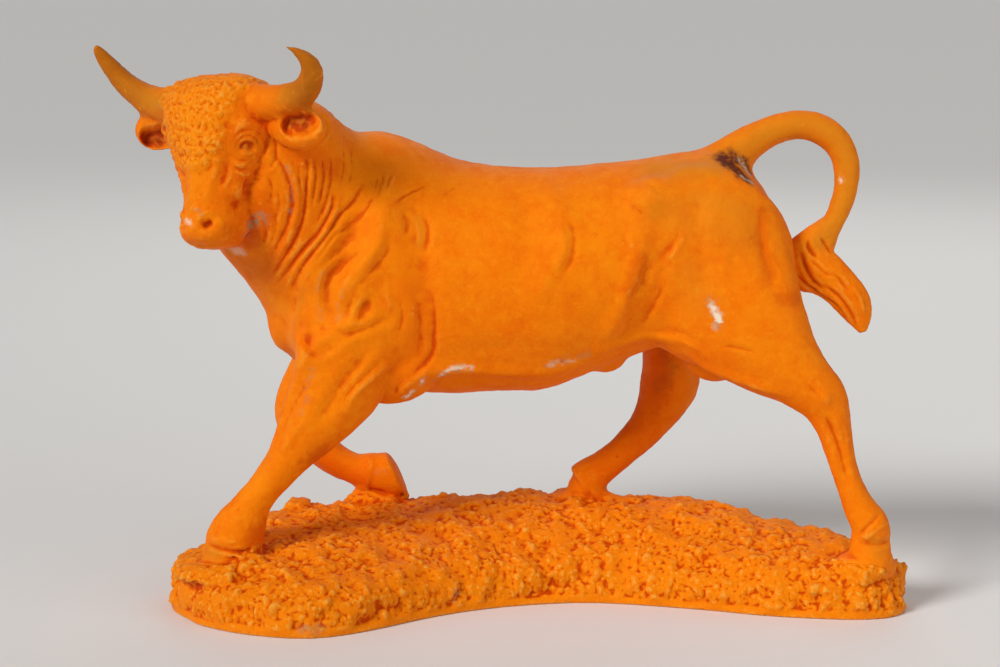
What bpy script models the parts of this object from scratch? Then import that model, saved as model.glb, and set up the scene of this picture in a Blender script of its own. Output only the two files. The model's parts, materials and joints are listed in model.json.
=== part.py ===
"""A cast bull striding over rocky ground, head turned aside and tail flung up in a loop.

The bull and its ground are one casting, so they are one closed mesh. The frame has +Z up, the
bull walks towards -X, its left flank faces -Y, and the origin is the centre of the underside.
"""

import math

import bmesh
import bpy
import numpy as np
from mathutils import Matrix, Vector, noise
from mathutils.bvhtree import BVHTree

# Driving dimensions, in metres.
FIGURE_LENGTH = 0.50  # from the toe of the leading hoof to the heel of the trailing one, and margins
BASE_RIM = 0.026  # height of the ground's edge above the underside
BASE_BATTER = 0.003  # how far the ground's edge leans in over that height
LUMP_RELIEF = 0.0032  # relief of the rough ground
LUMP_SPACING = 0.019  # spacing of its lumps
CELL = 0.0021  # cell that the forms are merged at
BLEND = 0.0085  # radius to which the joins between the fleshy forms are softened
EDGE_BLEND = 0.0022  # and those of the rest
GROUND_FACETS = 1800
HEAD_FACETS = 2900
BODY_FACETS = 3500
FLAT_WITHIN = 0.0004  # what lies this close to the underside is put on it

# The figure is drawn in centimetres of a 50 cm model, with z = 0 at the ground's edge.
CM = FIGURE_LENGTH / 50.0
BASE_DATUM_CM = BASE_RIM / CM
FIGURE_CENTRE_CM = (0.4, -1.08)  # the middle of the whole in plan, where the origin is

PAINT = (0.87, 0.29, 0.01, 1.0)

SIDES = 40
STEPS = 4

# Head frame: yaw from the walking direction towards the viewer's side, then pitch of the face.
HEAD_AT = (-17.9, -4.5, 31.3)
HEAD_YAW = math.radians(55)
HEAD_PITCH = math.radians(13)
HEAD_ROLL = math.radians(3)


def clear_scene():
    for obj in list(bpy.data.objects):
        bpy.data.objects.remove(obj)


def paint_material(name):
    material = bpy.data.materials.new(name)
    material.use_nodes = True
    shader = material.node_tree.nodes["Principled BSDF"]
    shader.inputs["Base Color"].default_value = PAINT
    shader.inputs["Roughness"].default_value = 0.62
    shader.inputs["Metallic"].default_value = 0.0
    return material


def spline(stations, steps=STEPS):
    """Stations joined by a Catmull-Rom curve through every field."""
    rows = np.array(stations, float)
    ends = np.vstack([2 * rows[0] - rows[1], rows, 2 * rows[-1] - rows[-2]])
    found = []
    for i in range(1, len(ends) - 2):
        a, b, c, d = ends[i - 1 : i + 3]
        for t in np.arange(steps) / steps:
            found.append(
                0.5 * (2 * b + (c - a) * t + (2 * a - 5 * b + 4 * c - d) * t**2 + (3 * b - a - 3 * c + d) * t**3)
            )
    found.append(rows[-1])
    return np.array(found)


def rounded(angle, power):
    """Cosine and sine with their magnitude raised to a power: under 1 is boxier than an ellipse."""
    c, s = np.cos(angle), np.sin(angle)
    return np.sign(c) * np.abs(c) ** power, np.sign(s) * np.abs(s) ** power


def skin(bm, rings):
    """One closed shell through rings that have the same number of points."""
    loops = [[bm.verts.new(p) for p in ring] for ring in rings]
    for lower, upper in zip(loops, loops[1:]):
        for i in range(len(lower)):
            j = (i + 1) % len(lower)
            bm.faces.new((lower[i], lower[j], upper[j], upper[i]))
    bm.faces.new(list(reversed(loops[0])))
    bm.faces.new(loops[-1])


ANGLES = np.arange(SIDES) * 2 * math.pi / SIDES


def limb(bm, stations, lateral=(0, 1, 0), power=1.0, steps=STEPS):
    """A tube of oval section. A station is x, y, z, half thickness in the leg's plane, half width."""
    rows = spline(stations, steps)
    side = np.array(lateral, float)
    c, s = rounded(ANGLES, power)
    rings = []
    for i, row in enumerate(rows):
        before, after = rows[max(i - 1, 0)], rows[min(i + 1, len(rows) - 1)]
        run = (after - before)[:3]
        across = np.cross(run, side)
        across /= np.linalg.norm(across)
        flank = np.cross(across, run)
        flank /= np.linalg.norm(flank)
        rings.append(row[:3] + np.outer(c * row[3], across) + np.outer(s * row[4], flank))
    skin(bm, rings)


def ball(bm, centre, radii, turn=(0, 0, 0)):
    """An ellipsoid, turned by angles in degrees about X, Y and Z."""
    spin = Matrix.Rotation(math.radians(turn[2]), 4, "Z") @ Matrix.Rotation(math.radians(turn[1]), 4, "Y")
    spin = spin @ Matrix.Rotation(math.radians(turn[0]), 4, "X")
    place = Matrix.Translation(centre) @ spin @ Matrix.Diagonal((*radii, 1))
    bmesh.ops.create_icosphere(bm, subdivisions=3, radius=1, matrix=place)


# Trunk: x, y, back line, belly line, half width.
TRUNK = [
    (-14.5, -1.2, 21.5, 15.0, 1.6),
    (-13.4, -0.9, 24.2, 13.4, 3.4),
    (-11.0, -0.5, 28.2, 12.0, 5.0),
    (-8.5, -0.2, 29.4, 11.8, 5.7),
    (-6.0, 0.0, 28.8, 11.7, 5.9),
    (-3.0, 0.0, 27.5, 11.6, 6.0),
    (0.0, 0.0, 27.0, 11.8, 6.2),
    (3.0, 0.0, 26.9, 11.9, 6.3),
    (6.0, 0.0, 27.1, 13.0, 6.1),
    (9.0, 0.0, 27.4, 14.2, 5.7),
    (12.0, 0.0, 27.9, 15.2, 5.5),
    (14.5, 0.0, 28.1, 16.0, 5.3),
    (16.5, 0.0, 27.0, 16.8, 4.8),
    (18.2, 0.0, 24.6, 17.6, 3.8),
    (19.3, 0.0, 22.4, 18.8, 2.0),
]


def trunk(bm):
    c, s = rounded(ANGLES, 0.92)
    rings = []
    for x, y, back, belly, width in spline(TRUNK):
        middle, half = (back + belly) / 2, (back - belly) / 2
        ridge = 1 - 0.16 * np.clip(c, 0, 1) ** 2
        rings.append(np.column_stack([np.full(SIDES, x), y + width * s * ridge, middle + half * c]))
    skin(bm, rings)


# Neck: crest x, z, throat x, z, y of the middle, half width, yaw in degrees.
NECK = [
    (-5.5, 28.2, -12.6, 12.4, 0.0, 5.3, 0),
    (-7.6, 29.4, -14.9, 14.6, -0.4, 5.2, 5),
    (-9.2, 30.0, -16.1, 17.4, -1.0, 4.9, 10),
    (-10.6, 30.9, -17.4, 19.8, -1.9, 4.5, 18),
    (-12.0, 31.9, -18.6, 22.0, -3.0, 4.1, 28),
    (-13.6, 32.2, -19.2, 24.2, -3.9, 3.6, 36),
    (-15.4, 32.0, -18.8, 27.0, -4.5, 2.8, 44),
]


def neck(bm):
    c, s = rounded(ANGLES, 0.95)
    rings = []
    for crest_x, crest_z, throat_x, throat_z, y, width, yaw in spline(NECK):
        middle = np.array([(crest_x + throat_x) / 2, y, (crest_z + throat_z) / 2])
        up = np.array([crest_x - throat_x, 0, crest_z - throat_z]) / 2
        turn = math.radians(yaw)
        side = np.array([math.sin(turn), -math.cos(turn), 0])
        throat = 1 - 0.22 * np.clip(-c, 0, 1) ** 2 - 0.15 * np.clip(c, 0, 1) ** 2
        rings.append(middle + np.outer(c, up) + np.outer(s * width * throat, side))
    skin(bm, rings)


def head_frame(pitch):
    """Columns: the bull's left, the way the face looks, and up along the face."""
    forward = Vector((-math.cos(HEAD_YAW), -math.sin(HEAD_YAW), 0))
    left = Vector((math.sin(HEAD_YAW), -math.cos(HEAD_YAW), 0))
    tilt = Matrix.Rotation(-pitch, 3, left)
    roll = Matrix.Rotation(HEAD_ROLL, 3, forward)
    columns = [roll @ tilt @ axis for axis in (left, forward, Vector((0, 0, 1)))]
    frame = Matrix(columns).transposed().to_4x4()
    return Matrix.Translation(HEAD_AT) @ frame


FACE = head_frame(HEAD_PITCH)
POLL = head_frame(0)


def placed(frame, points):
    """Points of left, forward, up in a head frame, as figure centimetres."""
    return np.array([frame @ Vector(p) for p in points])


# Skull: up along the face, half width, face surface, jaw surface, how much the face narrows.
SKULL = [
    (2.0, 1.8, 0.2, 1.4, 0.05),
    (1.5, 3.0, 1.3, 2.4, 0.05),
    (0.6, 3.6, 2.0, 3.2, 0.05),
    (-0.8, 3.75, 2.3, 4.0, 0.05),
    (-2.3, 3.6, 2.25, 4.7, 0.08),
    (-3.8, 3.1, 2.0, 4.9, 0.2),
    (-5.1, 2.55, 1.85, 4.4, 0.3),
    (-6.3, 2.05, 1.85, 3.4, 0.3),
    (-7.2, 2.05, 2.0, 2.7, 0.25),
    (-8.1, 2.1, 2.05, 2.2, 0.2),
    (-8.8, 1.8, 1.7, 1.7, 0.2),
    (-9.25, 1.0, 0.9, 1.0, 0.2),
]


def skull(bm):
    rings = []
    front, flank = rounded(ANGLES, np.where(np.cos(ANGLES) > 0, 0.8, 0.6))
    for up, width, face, jaw, narrowing in spline(SKULL):
        out = np.where(front > 0, face * front, jaw * front)
        taper = 1 - 0.1 * np.clip(-front, 0, 1) ** 2 - narrowing * np.clip(front, 0, 1)
        rings.append(placed(FACE, np.column_stack([width * flank * taper, out, np.full(SIDES, up)])))
    skin(bm, rings)


# Horns: left, forward, up, radius. The right one rises a little more.
LEFT_HORN = [
    (2.0, 0.0, 0.3, 1.2),
    (3.6, 0.0, 0.25, 1.12),
    (5.2, 0.0, 0.35, 1.0),
    (6.7, 0.1, 0.75, 0.92),
    (7.9, 0.5, 1.6, 0.84),
    (8.4, 1.1, 2.7, 0.68),
    (8.0, 1.9, 3.5, 0.42),
    (7.4, 2.5, 3.85, 0.15),
]
RIGHT_HORN = [
    (-2.0, 0.0, 0.3, 1.25),
    (-3.6, 0.0, 0.1, 1.2),
    (-5.2, 0.0, 0.15, 1.1),
    (-6.7, 0.1, 0.6, 0.98),
    (-8.0, 0.5, 1.55, 0.84),
    (-8.7, 1.1, 2.7, 0.68),
    (-9.0, 1.7, 3.6, 0.5),
    (-9.0, 2.1, 4.1, 0.34),
]


def horn(bm, stations):
    rows = spline(stations)
    places = placed(POLL, rows[:, :3])
    limb_rows = np.column_stack([places, rows[:, 3], rows[:, 3]])
    side = POLL.to_3x3() @ Vector((0, 1, 0.4))
    limb(bm, limb_rows, lateral=side, steps=1)
    ball(bm, places[-1], (rows[-1, 3],) * 3)


# Ears: left, forward, up, half thickness, half breadth. The right one is the same, mirrored.
EAR = [
    (2.0, -0.4, -1.0, 0.5, 0.6),
    (3.4, -0.4, -1.15, 0.6, 0.9),
    (4.5, -0.3, -1.35, 0.68, 1.25),
    (5.5, -0.2, -1.5, 0.72, 1.45),
    (6.4, -0.1, -1.6, 0.7, 1.42),
    (7.1, 0.0, -1.65, 0.6, 1.15),
    (7.55, 0.1, -1.65, 0.42, 0.65),
]


def ear(bm, sign):
    """A blunt paddle that stands out sideways. It is hollowed when the skin is carved."""
    rows = spline(EAR)
    rows[:, :3] = placed(POLL, rows[:, :3] * (sign, 1, 1))
    limb(bm, rows, lateral=POLL.to_3x3() @ Vector((0, 0, 1)), steps=1)


NEAR_FORE = [
    (-8.6, -3.2, 19.5, 3.9, 2.2),
    (-9.8, -4.0, 15.6, 3.5, 2.2),
    (-11.0, -4.6, 12.7, 3.05, 2.0),
    (-12.8, -4.9, 9.9, 2.1, 1.6),
    (-14.0, -5.0, 8.2, 1.45, 1.35),
    (-14.8, -5.0, 7.1, 1.25, 1.25),
    (-15.7, -5.0, 6.0, 1.12, 1.1),
    (-16.6, -5.0, 4.9, 1.2, 1.1),
    (-17.4, -5.0, 3.7, 1.4, 1.25),
    (-18.1, -5.0, 2.6, 1.35, 1.3),
]
FAR_FORE = [
    (-8.6, 3.2, 19.0, 3.8, 2.2),
    (-10.6, 4.1, 15.0, 3.0, 2.0),
    (-12.8, 4.6, 12.0, 2.1, 1.7),
    (-14.1, 4.7, 10.1, 1.6, 1.45),
    (-14.2, 4.7, 8.6, 1.5, 1.4),
    (-13.2, 4.8, 7.1, 1.3, 1.2),
    (-11.7, 4.8, 5.8, 1.15, 1.1),
    (-10.3, 4.8, 5.0, 1.25, 1.2),
    (-9.1, 4.8, 4.6, 1.3, 1.25),
]
NEAR_HIND = [
    (13.8, -2.8, 21.5, 4.9, 2.6),
    (15.6, -3.7, 17.9, 4.7, 2.5),
    (17.9, -4.3, 15.2, 3.3, 2.1),
    (19.9, -4.6, 13.4, 2.1, 1.6),
    (21.3, -4.6, 12.0, 1.7, 1.3),
    (22.0, -4.6, 10.4, 1.25, 1.1),
    (22.5, -4.6, 8.6, 1.0, 0.98),
    (23.15, -4.6, 6.5, 0.88, 0.9),
    (23.9, -4.6, 4.8, 1.05, 1.0),
    (24.7, -4.6, 3.4, 1.3, 1.2),
    (24.8, -4.6, 2.4, 1.35, 1.3),
]
FAR_HIND = [
    (13.2, 2.8, 20.5, 4.6, 2.5),
    (12.5, 3.8, 16.4, 3.2, 2.2),
    (12.0, 4.4, 13.2, 2.1, 1.8),
    (11.8, 4.7, 11.0, 2.05, 1.5),
    (10.6, 4.8, 8.5, 1.4, 1.25),
    (8.9, 4.8, 6.6, 1.12, 1.05),
    (7.5, 4.8, 5.4, 1.12, 1.1),
    (6.4, 4.8, 4.6, 1.3, 1.2),
    (5.8, 4.8, 4.1, 1.3, 1.3),
]


def hoof(bm, crown, sole, lengths, widths, toe):
    """A cloven hoof from its crown to its flat sole. Lengths and widths are halves; toe points forward."""
    ahead = Vector(toe).normalized()
    crown, sole = Vector(crown), Vector(sole)
    fall = (sole - crown).normalized()
    side = fall.cross(ahead).normalized()
    c, s = rounded(ANGLES, 0.85)
    rings = []
    for t in np.linspace(0, 1, 7):
        centre = crown.lerp(sole, t)
        length = lengths[0] + (lengths[1] - lengths[0]) * t
        width = widths[0] + (widths[1] - widths[0]) * t
        point = np.where(c > 0, 1 - 0.25 * c**2, 1.0)
        rings.append(
            np.array(centre) + np.outer(c * length, np.array(ahead)) + np.outer(s * width * point, np.array(side))
        )
    skin(bm, rings)


def hooves(bm):
    hoof(bm, (-18.0, -5.0, 3.0), (-18.9, -5.0, 0.6), (1.35, 1.75), (1.2, 1.45), (-1, 0, -0.25))
    hoof(bm, (24.8, -4.6, 3.2), (24.5, -4.6, 0.6), (1.25, 1.75), (1.15, 1.35), (-1, 0, -0.3))
    hoof(bm, (6.4, 4.8, 4.9), (5.6, 4.8, 2.4), (1.25, 1.8), (1.15, 1.35), (-1, 0, -0.15))
    hoof(bm, (-9.4, 4.8, 4.7), (-7.3, 4.8, 4.6), (1.3, 1.8), (1.15, 1.3), (0.45, 0, -1))


TAIL = [
    (13.2, 0.0, 26.4, 1.3, 1.2),
    (15.2, 0.0, 27.4, 1.55, 1.3),
    (17.0, 0.0, 28.8, 1.2, 1.1),
    (18.9, 0.0, 29.6, 1.0, 0.95),
    (20.5, 0.0, 29.7, 0.98, 0.92),
    (21.9, -0.1, 29.15, 1.0, 0.92),
    (22.9, -0.2, 27.9, 0.92, 0.88),
    (23.2, -0.4, 26.2, 0.85, 0.82),
    (22.9, -0.6, 24.5, 0.82, 0.8),
    (22.2, -0.8, 23.0, 0.78, 0.8),
    (21.5, -1.0, 21.7, 0.95, 0.85),
]
TUFT = [
    (19.6, -1.2, 20.8, 1.0, 0.8),
    (20.6, -1.2, 20.4, 1.75, 1.0),
    (21.7, -1.2, 19.9, 1.55, 1.0),
    (22.7, -1.2, 19.1, 1.35, 0.9),
    (23.6, -1.2, 18.1, 1.25, 0.8),
    (24.1, -1.2, 17.0, 0.95, 0.6),
    (24.4, -1.2, 15.9, 0.3, 0.3),
]


def masses(bm):
    """Muscle and fat that the lofted forms don't carry. Those of a pair lie to both sides."""
    for side in (-1, 1):
        ball(bm, (-8.8, 3.2 * side, 20.0), (4.1, 2.7, 6.8), (0, 14, 0))
        ball(bm, (-11.4, 2.9 * side, 17.2), (2.6, 2.5, 3.6), (0, 20, 0))
        ball(bm, (13.8, 2.7 * side, 20.6), (5.8, 2.9, 7.0), (0, -14, 0))
        ball(bm, (17.2, 2.2 * side, 21.0), (2.4, 2.1, 4.6), (0, -8, 0))
        ball(bm, (10.4, 3.4 * side, 24.8), (2.6, 1.6, 2.0))
    ball(bm, (-13.9, -0.9, 17.2), (1.9, 2.5, 3.8), (0, 10, 0))
    ball(bm, (7.3, -0.5, 13.6), (1.3, 1.1, 1.1))
    ball(bm, (14.2, -0.6, 13.6), (2.3, 1.5, 1.7), (0, 10, 0))


# Ground: x, front edge, rear edge, y of the ridge, height of the ridge above the edge.
GROUND = [
    (-22.5, -3.2, -0.6, -1.9, 0.1),
    (-22.1, -4.6, 0.7, -1.9, 0.35),
    (-21.1, -6.2, 2.0, -2.4, 0.7),
    (-19.5, -8.0, 3.6, -2.0, 1.5),
    (-16.3, -9.9, 5.7, 0.6, 2.7),
    (-12.3, -10.7, 7.2, 2.8, 3.0),
    (-8.7, -9.1, 8.0, 4.0, 3.0),
    (-5.3, -6.5, 8.3, 4.4, 3.0),
    (-2.0, -4.5, 8.5, 4.6, 3.3),
    (2.0, -3.1, 8.5, 4.8, 3.5),
    (6.8, -2.6, 8.2, 4.6, 3.4),
    (13.5, -4.2, 6.8, 3.8, 3.3),
    (17.0, -5.4, 5.6, 2.4, 2.7),
    (20.0, -6.1, 4.4, 0.8, 2.3),
    (23.3, -6.5, 2.4, -1.2, 1.9),
    (25.6, -6.2, 0.6, -2.6, 0.9),
    (26.9, -5.2, -0.8, -3.0, 0.4),
    (27.4, -4.1, -2.0, -3.0, 0.1),
]


def ground(bm):
    """The rocky ground: flat below, an upright edge, and a mound that is highest towards the back."""
    batter = BASE_BATTER / CM
    rise = np.linspace(0, 1, 9)[1:-1]
    rings = []
    for x, front, rear, ridge, height in spline(GROUND, 3):
        near, far = front + batter, rear - batter
        climb = [(near + (ridge - near) * t, height * math.sin(math.pi / 2 * t) ** 1.1) for t in rise]
        fall = [(far + (ridge - far) * t, height * math.sin(math.pi / 2 * t) ** 1.1) for t in rise[::-1]]
        outline = [(front, -BASE_DATUM_CM), (front + batter / 2, -BASE_DATUM_CM / 2), (near, -0.5), *climb]
        outline += [(ridge, height), *fall, (far, -0.5), (rear - batter / 2, -BASE_DATUM_CM / 2)]
        outline += [(rear, -BASE_DATUM_CM)]
        rings.append([(x, y, z) for y, z in outline])
    skin(bm, rings)


def mounds(bm):
    """The lump under the lifted hoof, and the ground heaped about the planted ones."""
    limb(bm, [(-9.2, 4.8, 0.5, 1.4, 1.5), (-8.9, 4.8, 2.0, 1.25, 1.3), (-8.4, 4.8, 3.3, 1.2, 1.2)])
    ball(bm, (-18.6, -4.9, 0.3), (2.6, 2.3, 1.0))
    ball(bm, (24.2, -4.4, 0.4), (2.4, 2.0, 1.2))
    ball(bm, (5.6, 4.8, 2.6), (2.6, 2.2, 1.1))


def applied(obj):
    """The object's mesh with its modifiers."""
    bpy.context.view_layer.update()
    graph = bpy.context.evaluated_depsgraph_get()
    return bpy.data.meshes.new_from_object(obj.evaluated_get(graph))


def merged(cell):
    """All forms as one closed skin, in figure centimetres."""
    bm = bmesh.new()
    trunk(bm)
    neck(bm)
    skull(bm)
    horn(bm, LEFT_HORN)
    horn(bm, RIGHT_HORN)
    ear(bm, 1)
    ear(bm, -1)
    for stations in (NEAR_FORE, FAR_FORE, NEAR_HIND, FAR_HIND, TAIL, TUFT):
        limb(bm, stations)
    hooves(bm)
    masses(bm)
    ground(bm)
    mounds(bm)
    bmesh.ops.recalc_face_normals(bm, faces=bm.faces)
    mesh = bpy.data.meshes.new("forms")
    bm.to_mesh(mesh)
    bm.free()
    forms = bpy.data.objects.new("forms", mesh)
    bpy.context.scene.collection.objects.link(forms)
    remesh = forms.modifiers.new("merge", "REMESH")
    remesh.mode = "VOXEL"
    remesh.voxel_size = cell
    skin_mesh = applied(forms)
    bpy.data.objects.remove(forms)
    return skin_mesh


def vertices_of(mesh):
    points = np.empty(len(mesh.vertices) * 3)
    mesh.vertices.foreach_get("co", points)
    return points.reshape(-1, 3)


def normals_of(mesh, points):
    mesh.vertices.foreach_set("co", points.ravel())
    mesh.update()
    normals = np.empty(len(mesh.vertices) * 3)
    mesh.vertices.foreach_get("normal", normals)
    return normals.reshape(-1, 3)


def relax(mesh, points, radius, cell, strength=1.0):
    """Softens the skin over about this radius."""
    edges = np.empty(len(mesh.edges) * 2, np.int64)
    mesh.edges.foreach_get("vertices", edges)
    a, b = edges.reshape(-1, 2).T
    count = len(points)
    valence = np.bincount(a, minlength=count) + np.bincount(b, minlength=count)
    share = np.full(count, 0.5) * strength
    for _ in range(max(1, round(1.6 * (radius / cell) ** 2))):
        moved = np.empty_like(points)
        for k in range(3):
            near = np.bincount(a, points[b, k], count) + np.bincount(b, points[a, k], count)
            moved[:, k] = points[:, k] + share * (near / valence - points[:, k])
        points = moved
    return points


def ramp(value, low, high):
    """0 below low, 1 above high, and smooth between them."""
    t = np.clip((value - low) / (high - low), 0, 1)
    return t * t * (3 - 2 * t)


def fleshy(points):
    """1 on the trunk, the thighs and the neck, 0 on the head, the lower legs, the tail and the ground."""
    x, y, z = points.T
    body = ramp(z, 11.5, 15.0) * ramp(-x, -19.5, -17.0)
    to_head = np.linalg.norm((points - np.array(HEAD_AT)) * (1, 1, 0.6), axis=1)
    return body * ramp(to_head, 5.5, 8.5)


# Views that relief is drawn in: across, up, and towards the eye.
VIEWS = {
    "near": Matrix(((1, 0, 0, 0), (0, 0, -1, 0), (0, 1, 0, 0), (0, 0, 0, 1))),
    "far": Matrix(((1, 0, 0, 0), (0, 0, 1, 0), (0, 1, 0, 0), (0, 0, 0, 1))),
    "front": Matrix(((0, 0, -1, 0), (1, 0, 0, 0), (0, 1, 0, 0), (0, 0, 0, 1))),
    "rear": Matrix(((0, 0, 1, 0), (1, 0, 0, 0), (0, 1, 0, 0), (0, 0, 0, 1))),
    "face": FACE @ Matrix(((1, 0, 0, 0), (0, 0, 1, 0), (0, 1, 0, 0), (0, 0, 0, 1))),
    "poll": POLL @ Matrix(((1, 0, 0, 0), (0, 0, 1, 0), (0, 1, 0, 0), (0, 0, 0, 1))),
    "left cheek": FACE @ Matrix(((0, 0, 1, 0), (1, 0, 0, 0), (0, 1, 0, 0), (0, 0, 0, 1))),
    "right cheek": FACE @ Matrix(((0, 0, -1, 0), (1, 0, 0, 0), (0, 1, 0, 0), (0, 0, 0, 1))),
}
BODY = ("near", "far")
CHEEKS = ("left cheek", "right cheek")

# Relief: views, height (a hollow is negative), breadth, and the path in those views.
RELIEF = [
    # Ears
    (("poll",), -1.0, 0.85, [(5.5, -1.5)]),
    (("poll",), -0.5, 0.6, [(4.6, -1.3), (5.5, -1.5)]),
    (("poll",), -1.0, 0.85, [(-5.5, -1.5)]),
    (("poll",), -0.5, 0.6, [(-4.6, -1.3), (-5.5, -1.5)]),
    # Brow, eyes, nose and mouth
    (("face",), 0.35, 1.6, [(-1.5, 0.4), (1.5, 0.4), (0.9, -1.8), (-0.9, -1.8)]),
    (("face",), 0.25, 0.6, [(0.0, -3.6), (0.0, -6.6)]),
    (CHEEKS, 0.3, 0.55, [(1.5, -1.3), (0.9, -1.6), (0.1, -2.1)]),
    (CHEEKS, -0.4, 0.5, [(1.6, -2.8), (0.8, -3.1), (0.2, -2.9)]),
    (CHEEKS, 0.35, 0.42, [(0.85, -2.65)]),
    (CHEEKS, 0.35, 1.2, [(-2.4, -3.6), (-3.0, -4.8)]),
    (CHEEKS, -0.3, 0.5, [(-0.3, -4.6), (-0.5, -6.0), (0.2, -6.8)]),
    (CHEEKS, -0.25, 0.22, [(-1.6, -6.9), (-0.4, -7.8), (0.9, -8.5), (1.7, -8.7)]),
    (("face",), -0.45, 0.3, [(0.95, -7.75), (1.4, -7.35)]),
    (("face",), -0.45, 0.3, [(-0.95, -7.75), (-1.4, -7.35)]),
    (("face",), -0.2, 0.22, [(-1.3, -8.75), (0.0, -8.6), (1.3, -8.75)]),
    # Folds of the neck, on the side that it bends to
    (("near",), 0.28, 0.42, [(-15.3, 27.0), (-15.2, 25.4), (-15.6, 23.3), (-16.3, 21.2)]),
    (("near",), 0.3, 0.42, [(-14.3, 27.2), (-14.1, 25.3), (-14.7, 22.7), (-16.0, 20.4)]),
    (("near",), 0.3, 0.42, [(-13.2, 27.4), (-13.0, 25.3), (-13.8, 22.3), (-15.5, 19.4)]),
    (("near",), 0.25, 0.42, [(-12.1, 27.6), (-11.9, 25.6), (-12.8, 22.7), (-15.0, 19.0)]),
    (("near",), 0.2, 0.45, [(-11.4, 28.2), (-10.8, 25.9), (-11.7, 23.0), (-14.0, 19.4)]),
    (("far",), 0.2, 0.6, [(-12.6, 27.8), (-12.4, 24.4), (-13.8, 20.0)]),
    (("front",), -0.3, 0.8, [(-1.2, 20.5), (-1.0, 17.0), (-0.9, 14.4)]),
    # Shoulder, breast and upper arm
    (BODY, -0.4, 0.9, [(-5.7, 25.4), (-5.3, 22.8), (-4.9, 19.4), (-4.9, 16.2), (-5.2, 14.6)]),
    (BODY, 0.35, 0.8, [(-7.2, 26.4), (-7.8, 23.4), (-9.1, 20.4), (-10.2, 18.6)]),
    (BODY, -0.25, 0.6, [(-9.0, 25.8), (-9.8, 22.8), (-11.0, 20.4)]),
    (BODY, 0.3, 0.7, [(-10.7, 23.6), (-11.9, 21.0), (-12.3, 18.7), (-12.2, 17.0)]),
    (BODY, 0.35, 0.8, [(-13.3, 16.9), (-12.8, 15.4), (-12.2, 14.0)]),
    (("near",), 0.3, 0.6, [(-13.4, 13.2), (-12.4, 15.4), (-10.4, 16.9), (-8.5, 17.6)]),
    (("near",), -0.25, 0.5, [(-12.0, 10.6), (-10.4, 13.2), (-8.6, 15.6)]),
    (("near",), -0.2, 0.4, [(-14.6, 9.4), (-13.8, 11.6), (-12.6, 13.4)]),
    # Barrel
    (BODY, 0.18, 0.8, [(2.9, 26.1), (3.9, 24.4), (4.2, 23.1), (3.4, 20.9), (2.2, 18.6)]),
    (BODY, -0.12, 0.7, [(1.2, 25.6), (1.8, 23.0), (1.0, 19.6)]),
    (BODY, 0.25, 0.6, [(-6.3, 13.2), (-4.6, 13.9), (-1.0, 13.9), (3.2, 13.8), (6.2, 14.7)]),
    (BODY, -0.2, 0.5, [(-3.6, 15.4), (0.4, 15.5), (4.2, 15.8)]),
    # Flank and haunch
    (BODY, 0.3, 0.7, [(9.4, 24.0), (8.9, 20.8), (7.9, 17.9), (6.6, 15.6)]),
    (BODY, -0.45, 0.9, [(10.9, 23.6), (10.3, 20.8), (9.4, 18.2), (8.2, 16.4)]),
    (BODY, 0.25, 1.0, [(10.0, 26.0), (9.0, 24.6)]),
    (BODY, -0.25, 0.8, [(13.2, 26.0), (12.6, 23.6), (13.4, 20.4)]),
    (BODY, 0.25, 0.5, [(5.9, 14.8), (7.9, 15.8), (9.8, 16.1), (11.8, 15.8)]),
    (BODY, -0.3, 0.6, [(16.6, 24.4), (17.0, 22.6), (17.5, 20.6), (18.4, 18.6)]),
    (("near",), -0.25, 0.5, [(17.0, 16.6), (18.8, 14.6), (20.6, 13.0)]),
    (("near",), 0.25, 0.4, [(13.0, 14.4), (16.0, 13.4), (18.6, 12.6)]),
    (("rear",), -0.5, 0.8, [(0.0, 25.4), (-0.2, 22.0), (-0.4, 18.6), (-0.6, 16.0)]),
    # Tendons and hocks
    (("near",), -0.25, 0.3, [(21.3, 11.2), (22.3, 9.0), (23.0, 6.4)]),
    (("far",), -0.25, 0.3, [(11.6, 10.6), (10.2, 8.3), (8.6, 6.6)]),
    (("near",), 0.2, 0.5, [(21.3, 12.3)]),
    # Hooves: the crown, and the cleft between the claws
    (("near",), -0.2, 0.28, [(-19.8, 2.5), (-18.2, 2.3), (-16.8, 2.7)]),
    (("near",), -0.2, 0.28, [(23.4, 2.6), (25.0, 2.4), (26.4, 2.6)]),
    (("front",), -0.35, 0.25, [(-5.0, 2.6), (-5.0, 0.8)]),
    (("rear",), -0.35, 0.25, [(-4.6, 3.6), (-4.6, 1.4)]),
]


def distance_to(points, path):
    """Distance of each point from a polyline, and how far along it the nearest place is, 0 to 1."""
    if len(path) == 1:
        return np.linalg.norm(points - path[0], axis=1), np.full(len(points), 0.5)
    nearest = np.full(len(points), 1e9)
    along = np.zeros(len(points))
    for i, (a, b) in enumerate(zip(path, path[1:])):
        run = b - a
        t = np.clip((points - a) @ run / max(run @ run, 1e-9), 0, 1)
        gap = np.linalg.norm(points - a - t[:, None] * run, axis=1)
        closer = gap < nearest
        nearest[closer] = gap[closer]
        along[closer] = (i + t[closer]) / (len(path) - 1)
    return nearest, along


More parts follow.
